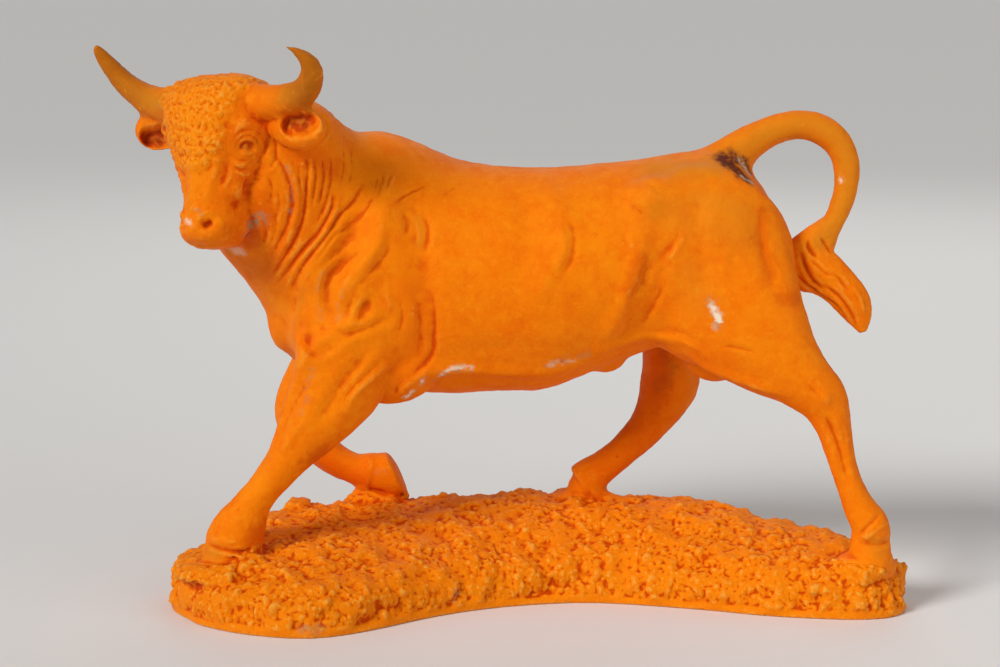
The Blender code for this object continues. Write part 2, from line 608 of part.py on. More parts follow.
def carve(mesh, points):
    """The hollows of the ears, and the relief that's drawn on the skin."""
    normals = normals_of(mesh, points)
    tree = BVHTree.FromPolygons(points.tolist(), [tuple(p.vertices) for p in mesh.polygons])
    lift = np.zeros(len(points))
    for views, height, breadth, drawn in RELIEF:
        for view in views:
            aim = VIEWS[view]
            eye = aim.to_3x3() @ Vector((0, 0, 1))
            path = []
            for u, v in spline(drawn) if len(drawn) > 1 else drawn:
                hit = tree.ray_cast(aim @ Vector((u, v, 40)), -eye)[0]
                if hit is not None:
                    path.append(np.array(hit))
            if not path:
                continue
            reach = 2.5 * breadth
            low, high = np.min(path, axis=0) - reach, np.max(path, axis=0) + reach
            close = np.flatnonzero(np.all((points > low) & (points < high), axis=1))
            gap, along = distance_to(points[close], path)
            ends = ramp(along, -0.15, 0.25) * ramp(1 - along, -0.15, 0.25)
            facing = ramp(normals[close] @ np.array(eye), -0.2, 0.35)
            lift[close] += height * np.exp(-((gap / breadth) ** 2)) * ends * facing
    return points + lift[:, None] * normals


def ground_height(x, y):
    """Height of the mound at a place."""
    stations, front, rear, ridge, height = np.array(GROUND).T
    front, rear, ridge, height = (np.interp(x, stations, line) for line in (front, rear, ridge, height))
    t = np.where(y < ridge, (y - front) / (ridge - front), (rear - y) / (rear - ridge))
    return height * np.sin(math.pi / 2 * np.clip(t, 0, 1)) ** 1.1


def roughen(mesh, points, spacing, relief):
    """Lumps on the ground, none on the bull or beneath."""
    normals = normals_of(mesh, points)
    x, y, z = points.T
    over = z - ground_height(x, y)
    loose = (1 - ramp(over, 0.15, 0.7)) * ramp(z, 0.15 - BASE_DATUM_CM, 0.7 - BASE_DATUM_CM)
    lift = np.zeros(len(points))
    for i in np.flatnonzero(loose):
        place = Vector(points[i]) / spacing
        lift[i] = noise.noise(place) + 0.5 * noise.noise(place * 2.1)
    return points + (relief * loose * lift)[:, None] * normals


def facet(obj, name, chosen, budget):
    """Thins the chosen part of a mesh to about this many triangles and leaves the rest."""
    group = obj.vertex_groups.new(name=name)
    group.add([int(i) for i in np.flatnonzero(chosen)], 1.0, "REPLACE")
    whole = applied(obj)
    whole.calc_loop_triangles()
    total = len(whole.loop_triangles)
    kept = {v.index for v in whole.vertices if any(g.group == group.index and g.weight > 0.5 for g in v.groups)}
    inside = sum(all(i in kept for i in t.vertices) for t in whole.loop_triangles)
    thin = obj.modifiers.new(name, "DECIMATE")
    thin.ratio = (total - inside + budget) / total
    thin.vertex_group = name


def main():
    clear_scene()
    cell = CELL / CM
    mesh = merged(cell)
    points = vertices_of(mesh)
    points = relax(mesh, points, BLEND / CM, cell, fleshy(points))
    points = relax(mesh, points, EDGE_BLEND / CM, cell)
    points = carve(mesh, points)
    points = roughen(mesh, points, LUMP_SPACING / CM, LUMP_RELIEF / CM)
    normals_of(mesh, points)
    placed_points = (points - (*FIGURE_CENTRE_CM, -BASE_DATUM_CM)) * CM
    mesh.vertices.foreach_set("co", placed_points.ravel())
    mesh.name = "bull"
    bull = bpy.data.objects.new("bull", mesh)
    bpy.context.scene.collection.objects.link(bull)
    low = points[:, 2] < ground_height(points[:, 0], points[:, 1]) + 0.3
    fore = points @ np.array((-0.9, 0, 0.45)) > 18.5
    facet(bull, "ground", low, GROUND_FACETS)
    facet(bull, "head", fore, HEAD_FACETS)
    facet(bull, "body", ~low & ~fore, BODY_FACETS)
    bull.data = applied(bull)
    bull.modifiers.clear()
    points = vertices_of(bull.data)
    points[points[:, 2] < FLAT_WITHIN, 2] = 0
    bull.data.vertices.foreach_set("co", points.ravel())
    bull.data.materials.clear()
    bull.data.materials.append(paint_material("orange_paint"))


main()
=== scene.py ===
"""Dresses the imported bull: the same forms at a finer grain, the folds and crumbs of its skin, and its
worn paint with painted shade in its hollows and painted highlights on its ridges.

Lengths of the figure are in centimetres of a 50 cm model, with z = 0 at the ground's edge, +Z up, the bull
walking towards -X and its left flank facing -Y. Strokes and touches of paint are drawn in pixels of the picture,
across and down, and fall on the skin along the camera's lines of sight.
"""

import itertools
import json
import math

import bmesh
import bpy
import numpy as np
from mathutils import Matrix, Vector, noise
from mathutils.bvhtree import BVHTree
from mathutils.kdtree import KDTree

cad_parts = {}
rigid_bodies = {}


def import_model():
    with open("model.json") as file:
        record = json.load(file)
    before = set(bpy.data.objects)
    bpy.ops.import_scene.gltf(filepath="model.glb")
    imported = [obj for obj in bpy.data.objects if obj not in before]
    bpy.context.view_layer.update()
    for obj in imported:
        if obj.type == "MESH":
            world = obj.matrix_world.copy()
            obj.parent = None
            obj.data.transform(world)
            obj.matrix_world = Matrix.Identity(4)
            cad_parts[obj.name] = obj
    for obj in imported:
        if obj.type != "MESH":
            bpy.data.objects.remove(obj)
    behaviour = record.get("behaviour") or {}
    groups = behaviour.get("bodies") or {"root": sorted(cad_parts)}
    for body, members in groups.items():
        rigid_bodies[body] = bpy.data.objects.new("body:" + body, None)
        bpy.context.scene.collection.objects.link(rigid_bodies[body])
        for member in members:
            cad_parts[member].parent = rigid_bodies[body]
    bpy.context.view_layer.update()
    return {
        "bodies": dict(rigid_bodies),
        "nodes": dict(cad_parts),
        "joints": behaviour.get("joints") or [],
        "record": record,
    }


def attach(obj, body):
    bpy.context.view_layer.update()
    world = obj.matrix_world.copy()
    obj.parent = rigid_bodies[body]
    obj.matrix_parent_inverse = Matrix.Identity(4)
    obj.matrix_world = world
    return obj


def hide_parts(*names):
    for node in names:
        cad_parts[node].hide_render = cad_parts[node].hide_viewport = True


# Sizes in metres. The skin is merged from its forms in cells of this size.
FIGURE_LENGTH = 0.50
BASE_RIM = 0.026
BASE_BATTER = 0.003
LUMP_RELIEF = 0.0032
LUMP_SPACING = 0.019
CELL = 0.00115
BLEND = 0.0085
EDGE_BLEND = 0.0018

# Triangles to keep in each region of the skin.
FACETS = {"ground": 65000, "head": 56000, "body": 76000}

CM = FIGURE_LENGTH / 50.0
BASE_DATUM_CM = BASE_RIM / CM
FIGURE_CENTRE_CM = (0.4, -1.08)

# The camera, in the figure's centimetres: it looks at the middle of the flank from a little above.
LENS = 85.0
SENSOR = 36.0
CAMERA_TILT = math.radians(10)
CAMERA_AIM = (0.0, 0.0, 15.6)
CAMERA_RANGE = 160.0
PICTURE = (1000, 667)

# Points round a section, and steps between two stations.
SIDES = 40
STEPS = 4

# Head frame: yaw from the walking direction towards the viewer's side, then pitch of the face.
HEAD_AT = (-17.9, -4.5, 31.3)
HEAD_YAW = math.radians(55)
HEAD_PITCH = math.radians(13)
HEAD_ROLL = math.radians(3)
FACE_ROLL = math.radians(5.5)
FACE_ASIDE = -0.45

def spline(stations, steps=STEPS):
    """Stations joined by a Catmull-Rom curve through every field."""
    rows = np.array(stations, float)
    ends = np.vstack([2 * rows[0] - rows[1], rows, 2 * rows[-1] - rows[-2]])
    found = []
    for i in range(1, len(ends) - 2):
        a, b, c, d = ends[i - 1 : i + 3]
        for t in np.arange(steps) / steps:
            found.append(
                0.5 * (2 * b + (c - a) * t + (2 * a - 5 * b + 4 * c - d) * t**2
                       + (3 * b - a - 3 * c + d) * t**3)
            )
    found.append(rows[-1])
    return np.array(found)

def rounded(angle, power):
    """Cosine and sine with their magnitude raised to a power: under 1 is boxier than an ellipse."""
    c, s = np.cos(angle), np.sin(angle)
    return np.sign(c) * np.abs(c) ** power, np.sign(s) * np.abs(s) ** power

def skin(bm, rings):
    """One closed shell through rings that have the same number of points."""
    loops = [[bm.verts.new(p) for p in ring] for ring in rings]
    for lower, upper in zip(loops, loops[1:]):
        for i in range(len(lower)):
            j = (i + 1) % len(lower)
            bm.faces.new((lower[i], lower[j], upper[j], upper[i]))
    bm.faces.new(list(reversed(loops[0])))
    bm.faces.new(loops[-1])

ANGLES = np.arange(SIDES) * 2 * math.pi / SIDES

def limb(bm, stations, lateral=(0, 1, 0), steps=STEPS):
    """A tube of oval section. A station is x, y, z, half thickness in the leg's plane, half width."""
    rows = spline(stations, steps)
    side = np.array(lateral, float)
    c, s = np.cos(ANGLES), np.sin(ANGLES)
    rings = []
    for i, row in enumerate(rows):
        before, after = rows[max(i - 1, 0)], rows[min(i + 1, len(rows) - 1)]
        run = (after - before)[:3]
        across = np.cross(run, side)
        across /= np.linalg.norm(across)
        flank = np.cross(across, run)
        flank /= np.linalg.norm(flank)
        rings.append(row[:3] + np.outer(c * row[3], across) + np.outer(s * row[4], flank))
    skin(bm, rings)

def ball(bm, centre, radii, turn=(0, 0, 0)):
    """An ellipsoid, turned by angles in degrees about X, Y and Z."""
    spin = Matrix.Rotation(math.radians(turn[2]), 4, "Z") @ Matrix.Rotation(math.radians(turn[1]), 4, "Y")
    spin = spin @ Matrix.Rotation(math.radians(turn[0]), 4, "X")
    place = Matrix.Translation(centre) @ spin @ Matrix.Diagonal((*radii, 1))
    bmesh.ops.create_icosphere(bm, subdivisions=3, radius=1, matrix=place)

# Trunk: x, y, back line, belly line, half width.
TRUNK = [
    (-14.5, -1.2, 21.5, 16.2, 1.6),
    (-13.4, -0.9, 24.2, 14.3, 3.4),
    (-11.0, -0.5, 28.2, 12.0, 5.0),
    (-8.5, -0.2, 29.4, 11.8, 5.7),
    (-6.0, 0.0, 28.8, 11.7, 5.9),
    (-3.0, 0.0, 27.5, 11.6, 6.0),
    (0.0, 0.0, 27.0, 11.8, 6.2),
    (3.0, 0.0, 26.9, 11.9, 6.3),
    (6.0, 0.0, 27.1, 13.0, 6.1),
    (9.0, 0.0, 27.4, 14.2, 5.7),
    (12.0, 0.0, 27.9, 15.2, 5.5),
    (14.5, 0.0, 28.1, 16.0, 5.3),
    (16.5, 0.0, 27.0, 16.8, 4.8),
    (18.2, 0.0, 24.6, 17.6, 3.8),
    (19.3, 0.0, 22.4, 18.8, 2.0),
]

def trunk(bm):
    c, s = rounded(ANGLES, 0.92)
    rings = []
    for x, y, back, belly, width in spline(TRUNK):
        middle, half = (back + belly) / 2, (back - belly) / 2
        ridge = 1 - 0.16 * np.clip(c, 0, 1) ** 2
        rings.append(np.column_stack([np.full(SIDES, x), y + width * s * ridge, middle + half * c]))
    skin(bm, rings)

# Neck: crest x, z, throat x, z, y of the middle, half width, yaw in degrees.
NECK = [
    (-5.5, 28.2, -12.6, 12.4, 0.0, 5.3, 0),
    (-7.6, 29.2, -14.9, 14.8, -0.4, 5.2, 5),
    (-9.4, 29.35, -16.1, 17.5, -1.0, 4.9, 10),
    (-10.5, 30.1, -17.4, 19.9, -1.9, 4.5, 18),
    (-11.7, 31.3, -18.6, 22.0, -3.0, 4.1, 28),
    (-13.6, 32.2, -19.2, 24.2, -3.9, 3.6, 36),
    (-15.4, 32.0, -18.8, 27.0, -4.5, 2.8, 44),
]

def neck(bm):
    c, s = rounded(ANGLES, 0.95)
    rings = []
    for crest_x, crest_z, throat_x, throat_z, y, width, yaw in spline(NECK):
        middle = np.array([(crest_x + throat_x) / 2, y, (crest_z + throat_z) / 2])
        up = np.array([crest_x - throat_x, 0, crest_z - throat_z]) / 2
        turn = math.radians(yaw)
        side = np.array([math.sin(turn), -math.cos(turn), 0])
        throat = 1 - 0.22 * np.clip(-c, 0, 1) ** 2 - 0.15 * np.clip(c, 0, 1) ** 2
        rings.append(middle + np.outer(c, up) + np.outer(s * width * throat, side))
    skin(bm, rings)

def head_frame(pitch, roll=HEAD_ROLL, aside=0.0):
    """Columns: the bull's left, the way the face looks, and up along the face."""
    forward = Vector((-math.cos(HEAD_YAW), -math.sin(HEAD_YAW), 0))
    left = Vector((math.sin(HEAD_YAW), -math.cos(HEAD_YAW), 0))
    tilt = Matrix.Rotation(-pitch, 3, left)
    turn = Matrix.Rotation(roll, 3, forward)
    columns = [turn @ tilt @ axis for axis in (left, forward, Vector((0, 0, 1)))]
    frame = Matrix(columns).transposed().to_4x4()
    return Matrix.Translation(Vector(HEAD_AT) + left * aside) @ frame

FACE = head_frame(HEAD_PITCH, FACE_ROLL, FACE_ASIDE)
POLL = head_frame(0)

def placed(frame, points):
    """Points of left, forward, up in a head frame, as figure centimetres."""
    return np.array([frame @ Vector(p) for p in points])

# Skull: up along the face, half width, face surface, jaw surface, how much the face narrows.
SKULL = [
    (2.0, 1.8, 0.2, 1.4, 0.05),
    (1.5, 3.0, 1.5, 2.4, 0.08),
    (0.6, 3.8, 2.3, 3.2, 0.12),
    (-0.8, 4.0, 2.6, 4.0, 0.22),
    (-2.3, 3.85, 2.45, 4.7, 0.32),
    (-3.8, 3.3, 2.05, 4.9, 0.4),
    (-5.1, 2.65, 1.85, 4.4, 0.4),
    (-6.3, 2.1, 1.8, 3.4, 0.32),
    (-7.2, 2.05, 1.95, 2.7, 0.25),
    (-8.1, 2.1, 2.0, 2.2, 0.2),
    (-8.8, 1.8, 1.7, 1.7, 0.2),
    (-9.25, 1.0, 0.9, 1.0, 0.2),
]

def skull(bm):
    rings = []
    front, flank = rounded(ANGLES, np.where(np.cos(ANGLES) > 0, 0.8, 0.6))
    for up, width, face, jaw, narrowing in spline(SKULL):
        out = np.where(front > 0, face * front, jaw * front)
        taper = 1 - 0.1 * np.clip(-front, 0, 1) ** 2 - narrowing * np.clip(front, 0, 1)
        rings.append(placed(FACE, np.column_stack([width * flank * taper, out, np.full(SIDES, up)])))
    skin(bm, rings)

# Horns: left, forward, up, radius. The right one rises a little more.
LEFT_HORN = [
    (2.0, 0.0, 0.3, 1.2),
    (3.6, 0.0, 0.25, 1.12),
    (5.2, 0.0, 0.35, 1.0),
    (6.7, 0.1, 0.75, 0.92),
    (7.9, 0.5, 1.6, 0.84),
    (8.4, 1.1, 2.7, 0.68),
    (8.0, 1.9, 3.5, 0.42),
    (7.4, 2.5, 3.85, 0.15),
]
RIGHT_HORN = [
    (-2.0, 0.0, 0.3, 1.25),
    (-3.6, 0.0, 0.1, 1.2),
    (-5.2, 0.0, 0.15, 1.1),
    (-6.7, 0.1, 0.6, 0.98),
    (-8.0, 0.5, 1.55, 0.84),
    (-8.7, 1.1, 2.7, 0.7),
    (-9.0, 1.7, 3.6, 0.56),
    (-9.0, 2.1, 4.15, 0.42),
]

def horn(bm, stations):
    rows = spline(stations)
    places = placed(POLL, rows[:, :3])
    limb_rows = np.column_stack([places, rows[:, 3] * 1.05, rows[:, 3] * 1.05])
    side = POLL.to_3x3() @ Vector((0, 1, 0.4))
    limb(bm, limb_rows, lateral=side, steps=1)
    ball(bm, places[-1], (rows[-1, 3],) * 3)

# Ears: left, forward, up, half thickness, half breadth. The right one is the same, mirrored.
EAR = [
    (2.0, -0.4, -1.0, 0.5, 0.6),
    (3.6, -0.4, -1.1, 0.65, 0.9),
    (4.9, -0.3, -1.25, 0.78, 1.25),
    (6.0, -0.2, -1.4, 0.82, 1.42),
    (7.0, -0.1, -1.5, 0.8, 1.35),
    (7.8, 0.0, -1.55, 0.66, 1.05),
    (8.3, 0.1, -1.55, 0.45, 0.6),
]

def ear(bm, sign):
    """A blunt paddle that stands out sideways. It is hollowed when the skin is carved."""
    rows = spline(EAR)
    rows[:, :3] = placed(POLL, rows[:, :3] * (sign if sign > 0 else -0.94, 1, 1))
    limb(bm, rows, lateral=POLL.to_3x3() @ Vector((0, 0, 1)), steps=1)

# Legs, tail and tuft: x, y, z, half thickness, half width.
NEAR_FORE = [
    (-8.6, -3.2, 19.5, 3.9, 2.2),
    (-9.8, -4.0, 15.6, 3.5, 2.2),
    (-11.0, -4.6, 12.7, 3.05, 2.0),
    (-12.8, -4.9, 9.9, 2.1, 1.6),
    (-14.0, -5.0, 8.2, 1.45, 1.35),
    (-14.8, -5.0, 7.1, 1.25, 1.25),
    (-15.7, -5.0, 6.0, 1.12, 1.1),
    (-16.5, -5.0, 4.9, 1.25, 1.1),
    (-17.1, -5.0, 3.8, 1.65, 1.3),
    (-17.6, -5.0, 2.7, 1.9, 1.4),
    (-17.8, -5.0, 1.8, 2.0, 1.45),
]
FAR_FORE = [
    (-8.6, 3.2, 19.0, 3.8, 2.2),
    (-10.6, 4.1, 15.0, 3.0, 2.0),
    (-12.8, 4.6, 12.0, 2.1, 1.7),
    (-14.1, 4.7, 10.1, 1.6, 1.45),
    (-14.2, 4.7, 8.6, 1.5, 1.4),
    (-13.2, 4.8, 7.1, 1.3, 1.2),
    (-11.7, 4.8, 5.8, 1.15, 1.1),
    (-10.3, 4.8, 5.1, 1.1, 1.1),
    (-9.1, 4.8, 4.8, 1.45, 1.3),
]
NEAR_HIND = [
    (13.8, -2.8, 21.5, 4.9, 2.6),
    (15.6, -3.7, 17.9, 4.7, 2.5),
    (17.9, -4.3, 15.2, 3.3, 2.1),
    (19.9, -4.6, 13.4, 2.1, 1.6),
    (21.3, -4.6, 12.0, 1.7, 1.3),
    (22.0, -4.6, 10.4, 1.25, 1.1),
    (22.5, -4.6, 8.6, 1.0, 0.98),
    (23.15, -4.6, 6.5, 0.88, 0.9),
    (23.9, -4.6, 4.8, 1.05, 1.0),
    (24.7, -4.6, 3.4, 1.3, 1.2),
    (24.8, -4.6, 2.4, 1.35, 1.3),
]
FAR_HIND = [
    (13.2, 2.8, 20.5, 4.6, 2.5),
    (12.5, 3.8, 16.4, 3.2, 2.2),
    (12.0, 4.4, 13.2, 2.1, 1.8),
    (11.8, 4.7, 11.0, 2.05, 1.5),
    (10.6, 4.8, 8.5, 1.4, 1.25),
    (8.9, 4.8, 6.6, 1.12, 1.05),
    (7.5, 4.8, 5.4, 1.12, 1.1),
    (6.4, 4.8, 4.6, 1.3, 1.2),
    (5.8, 4.8, 4.1, 1.3, 1.3),
]

# Hooves: crown, sole, half lengths and half widths at both, and the way that the toe points.
HOOVES = [
    ((-18.35, -5.0, 2.3), (-18.9, -5.0, 0.5), (1.35, 2.05), (1.25, 1.55), (-1, 0, -0.2)),
    ((24.8, -4.6, 3.2), (24.5, -4.6, 0.6), (1.25, 1.75), (1.15, 1.35), (-1, 0, -0.3)),
    ((6.4, 4.8, 4.9), (5.6, 4.8, 2.4), (1.25, 1.8), (1.15, 1.35), (-1, 0, -0.15)),
    ((-9.4, 4.8, 4.7), (-7.3, 4.8, 4.6), (1.3, 1.8), (1.15, 1.3), (0.45, 0, -1)),
]
# Rounding under a hoof: share of the rim, and how far below it.
HOOF_UNDER = ((0.9, 0.12), (0.7, 0.24), (0.4, 0.32))

def hoof(bm, crown, sole, lengths, widths, toe):
    """A blunt hoof from its crown to its rounded sole, narrower at the toe."""
    ahead = Vector(toe).normalized()
    crown, sole = Vector(crown), Vector(sole)
    fall = (sole - crown).normalized()
    side = fall.cross(ahead).normalized()
    c, s = rounded(ANGLES, 0.85)
    point = np.where(c > 0, 1 - 0.25 * c**2, 1.0)
    rings = []
    for t in np.linspace(0, 1, 7):
        length = lengths[0] + (lengths[1] - lengths[0]) * t
        width = widths[0] + (widths[1] - widths[0]) * t
        along, aside = np.outer(c * length, np.array(ahead)), np.outer(s * width * point, np.array(side))
        rings.append(np.array(crown.lerp(sole, t)) + along + aside)
    middle, rim = rings[-1].mean(axis=0), rings[-1]
    for share, below in HOOF_UNDER:
        rings.append(middle + (rim - middle) * share + np.array(fall) * below)
    skin(bm, rings)

TAIL = [
    (13.2, 0.0, 26.4, 1.3, 1.2),
    (15.2, 0.0, 27.4, 1.55, 1.3),
    (17.0, 0.0, 28.8, 1.2, 1.1),
    (18.9, 0.0, 29.6, 1.0, 0.95),
    (20.5, 0.0, 29.7, 0.98, 0.92),
    (21.9, -0.1, 29.15, 1.0, 0.92),
    (22.9, -0.2, 27.9, 0.92, 0.88),
    (23.2, -0.4, 26.2, 0.85, 0.82),
    (22.9, -0.6, 24.5, 0.82, 0.8),
    (22.2, -0.8, 23.0, 0.78, 0.8),
    (21.5, -1.0, 21.7, 0.95, 0.85),
]
TUFT = [
    (19.6, -1.2, 20.8, 1.0, 0.8),
    (20.6, -1.2, 20.4, 1.75, 1.0),
    (21.7, -1.2, 19.9, 1.55, 1.0),
    (22.7, -1.2, 19.1, 1.35, 0.9),
    (23.6, -1.2, 18.1, 1.25, 0.8),
    (24.1, -1.2, 17.0, 0.95, 0.6),
    (24.4, -1.2, 15.9, 0.3, 0.3),
]
TUFT_TOP = [
    (22.5, -0.8, 23.6, 0.6, 0.7),
    (21.3, -1.0, 22.3, 1.0, 0.85),
    (20.2, -1.1, 21.5, 1.0, 0.8),
    (19.2, -1.2, 20.9, 0.8, 0.7),
]

def masses(bm):
    """Muscle and fat that the lofted forms don't carry. Those of a pair lie to both sides."""
    for side in (-1, 1):
        ball(bm, (-8.8, 3.2 * side, 20.0), (4.1, 2.7, 6.8), (0, 14, 0))
        ball(bm, (-11.4, 2.9 * side, 17.2), (2.6, 2.5, 3.6), (0, 20, 0))
        ball(bm, (13.8, 2.7 * side, 20.6), (5.8, 2.9, 7.0), (0, -14, 0))
        ball(bm, (17.2, 2.2 * side, 21.0), (2.4, 2.1, 4.6), (0, -8, 0))
        ball(bm, (10.4, 3.4 * side, 24.8), (2.6, 1.6, 2.0))
        ball(bm, (-6.9, 3.4 * side, 13.4), (3.0, 1.7, 1.9), (0, -12, 0))
    ball(bm, (-13.9, -0.9, 17.7), (1.8, 2.4, 3.4), (0, 14, 0))
    ball(bm, (7.4, -0.5, 13.8), (1.3, 0.9, 0.8), (0, -18, 0))
    ball(bm, (14.5, -0.6, 14.0), (2.3, 1.5, 1.6), (0, 6, 0))

# Ground: x, front edge, rear edge, y of the ridge, height of the ridge above the edge.
GROUND = [
    (-22.3, -3.2, -0.6, -1.9, 0.1),
    (-21.9, -4.6, 0.7, -1.9, 0.35),
    (-20.9, -6.2, 2.0, -2.4, 0.8),
    (-19.5, -8.0, 3.6, -2.0, 1.5),
    (-16.3, -9.9, 5.7, 0.6, 2.7),
    (-12.3, -10.7, 7.2, 2.8, 3.0),
    (-8.7, -9.1, 8.0, 4.0, 3.0),
    (-5.3, -6.5, 8.3, 4.4, 3.0),
    (-2.0, -4.5, 8.5, 4.6, 3.3),
    (2.0, -3.1, 8.5, 4.8, 3.5),
    (6.8, -2.6, 8.2, 4.6, 3.4),
    (13.5, -4.2, 6.8, 3.8, 3.3),
    (17.0, -5.4, 5.6, 2.4, 2.7),
    (20.0, -6.1, 4.4, 0.8, 2.3),
    (23.3, -6.5, 2.4, -1.2, 1.9),
    (25.6, -6.2, 0.6, -2.6, 0.9),
    (26.9, -5.2, -0.8, -3.0, 0.4),
    (27.4, -4.1, -2.0, -3.0, 0.1),
]

# How fully the mound rises between its edge and its ridge.
FULLNESS = 1.1

def rise_of(share):
    """Height of the mound as a share of its ridge, from its edge at 0 to its ridge at 1."""
    return np.sin(math.pi / 2 * share) ** FULLNESS

def ground(bm):
    """The rocky ground: flat below, an upright edge, and a mound that is highest towards the back."""
    batter = BASE_BATTER / CM
    rise = np.linspace(0, 1, 9)[1:-1]
    rings = []
    for x, front, rear, ridge, height in spline(GROUND, 3):
        near, far = front + batter, rear - batter
        climb = [(near + (ridge - near) * t, height * rise_of(t)) for t in rise]
        fall = [(far + (ridge - far) * t, height * rise_of(t)) for t in rise[::-1]]
        outline = [(front, -BASE_DATUM_CM), (front + batter / 2, -BASE_DATUM_CM / 2), (near, -0.5), *climb]
        outline += [(ridge, height), *fall, (far, -0.5), (rear - batter / 2, -BASE_DATUM_CM / 2)]
        outline += [(rear, -BASE_DATUM_CM)]
        rings.append([(x, y, z) for y, z in outline])
    skin(bm, rings)

# Heaps on the ground, as centre and radii: round the four hooves, and a clod on the ridge.
HEAPS = [
    ((-18.7, -5.6, 0.45), (3.0, 2.3, 0.9)),
    ((-16.7, -5.3, 0.95), (1.6, 1.75, 0.95)),
    ((24.2, -4.4, 0.4), (2.4, 2.0, 1.2)),
    ((5.6, 4.8, 2.6), (2.6, 2.2, 1.1)),
    ((-9.2, 4.7, 2.35), (1.75, 1.35, 1.5)),
    ((-14.2, 2.7, 2.9), (0.9, 1.0, 0.55)),
]

# The stump that carries the lifted hoof, as stations of a limb.
STUMP = [(-8.6, 4.8, 0.5, 1.4, 1.5), (-8.4, 4.8, 2.0, 1.25, 1.3), (-8.1, 4.8, 3.3, 1.2, 1.2)]

def mounds(bm):
    """The stump and the heaps."""
    limb(bm, STUMP)
    for centre, radii in HEAPS:
        ball(bm, centre, radii)

def linked(name, data):
    """A new object in the scene."""
    found = bpy.data.objects.new(name, data)
    bpy.context.scene.collection.objects.link(found)
    return found

def applied(obj):
    """The object's mesh with its modifiers."""
    bpy.context.view_layer.update()
    graph = bpy.context.evaluated_depsgraph_get()
    return bpy.data.meshes.new_from_object(obj.evaluated_get(graph))

def merged(cell):
    """All forms as one closed skin, in figure centimetres."""
    bm = bmesh.new()
    trunk(bm)
    neck(bm)
    skull(bm)
    horn(bm, LEFT_HORN)
    horn(bm, RIGHT_HORN)
    ear(bm, 1)
    ear(bm, -1)
    for stations in (NEAR_FORE, FAR_FORE, NEAR_HIND, FAR_HIND, TAIL, TUFT, TUFT_TOP):
        limb(bm, stations)
    for shape in HOOVES:
        hoof(bm, *shape)
    masses(bm)
    ground(bm)
    mounds(bm)
    bmesh.ops.recalc_face_normals(bm, faces=bm.faces)
    mesh = bpy.data.meshes.new("forms")
    bm.to_mesh(mesh)
    bm.free()
    forms = linked("forms", mesh)
    remesh = forms.modifiers.new("merge", "REMESH")
    remesh.mode = "VOXEL"
    remesh.voxel_size = cell
    skin_mesh = applied(forms)
    bpy.data.objects.remove(forms)
    return skin_mesh

def vertices_of(mesh):
    points = np.empty(len(mesh.vertices) * 3)
    mesh.vertices.foreach_get("co", points)
    return points.reshape(-1, 3)

def normals_of(mesh, points):
    """The vertices' normals with the vertices at these points."""
    mesh.vertices.foreach_set("co", points.ravel())
    mesh.update()
    normals = np.empty(len(mesh.vertices) * 3)
    mesh.vertices.foreach_get("normal", normals)
    return normals.reshape(-1, 3)

def tree_of(mesh, points):
    """The skin at these points, for finding places on it."""
    return BVHTree.FromPolygons(points.tolist(), [tuple(p.vertices) for p in mesh.polygons])

def relax(mesh, points, radius, cell, strength=1.0):
    """Softens the skin over about this radius."""
    edges = np.empty(len(mesh.edges) * 2, np.int64)
    mesh.edges.foreach_get("vertices", edges)
    a, b = edges.reshape(-1, 2).T
    count = len(points)
    valence = np.bincount(a, minlength=count) + np.bincount(b, minlength=count)
    share = np.full(count, 0.5) * strength
    for _ in range(max(1, round(1.6 * (radius / cell) ** 2))):
        moved = np.empty_like(points)
        for k in range(3):
            near = np.bincount(a, points[b, k], count) + np.bincount(b, points[a, k], count)
            moved[:, k] = points[:, k] + share * (near / valence - points[:, k])
        points = moved
    return points

def ramp(value, low, high):
    """0 below low, 1 above high, and smooth between them."""
    t = np.clip((value - low) / (high - low), 0, 1)
    return t * t * (3 - 2 * t)

def fleshy(points):
    """1 on the trunk, the thighs and the neck, 0 on the head, the lower legs, the tail and the ground."""
    x, y, z = points.T
    body = ramp(z, 11.5, 15.0) * ramp(-x, -19.5, -17.0)
    to_head = np.linalg.norm((points - np.array(HEAD_AT)) * (1, 1, 0.6), axis=1)
    return body * ramp(to_head, 5.5, 8.5)

def view(across, toward):
    """A view's frame. Columns: across, up, and towards the eye."""
    return Matrix((across, (0, 0, 1), toward)).transposed().to_4x4()

# Views that relief is drawn in: plain ones of the figure, and those that turn with the face.
VIEWS = {
    "near": view((1, 0, 0), (0, -1, 0)),
    "far": view((1, 0, 0), (0, 1, 0)),
    "front": view((0, 1, 0), (-1, 0, 0)),
    "rear": view((0, 1, 0), (1, 0, 0)),
}
for name, plain in (("face", "far"), ("left cheek", "rear"), ("right cheek", "front")):
    VIEWS[name] = FACE @ VIEWS[plain]
VIEW_RANGE = 40
BODY = ("near", "far")
CHEEKS = ("left cheek", "right cheek")

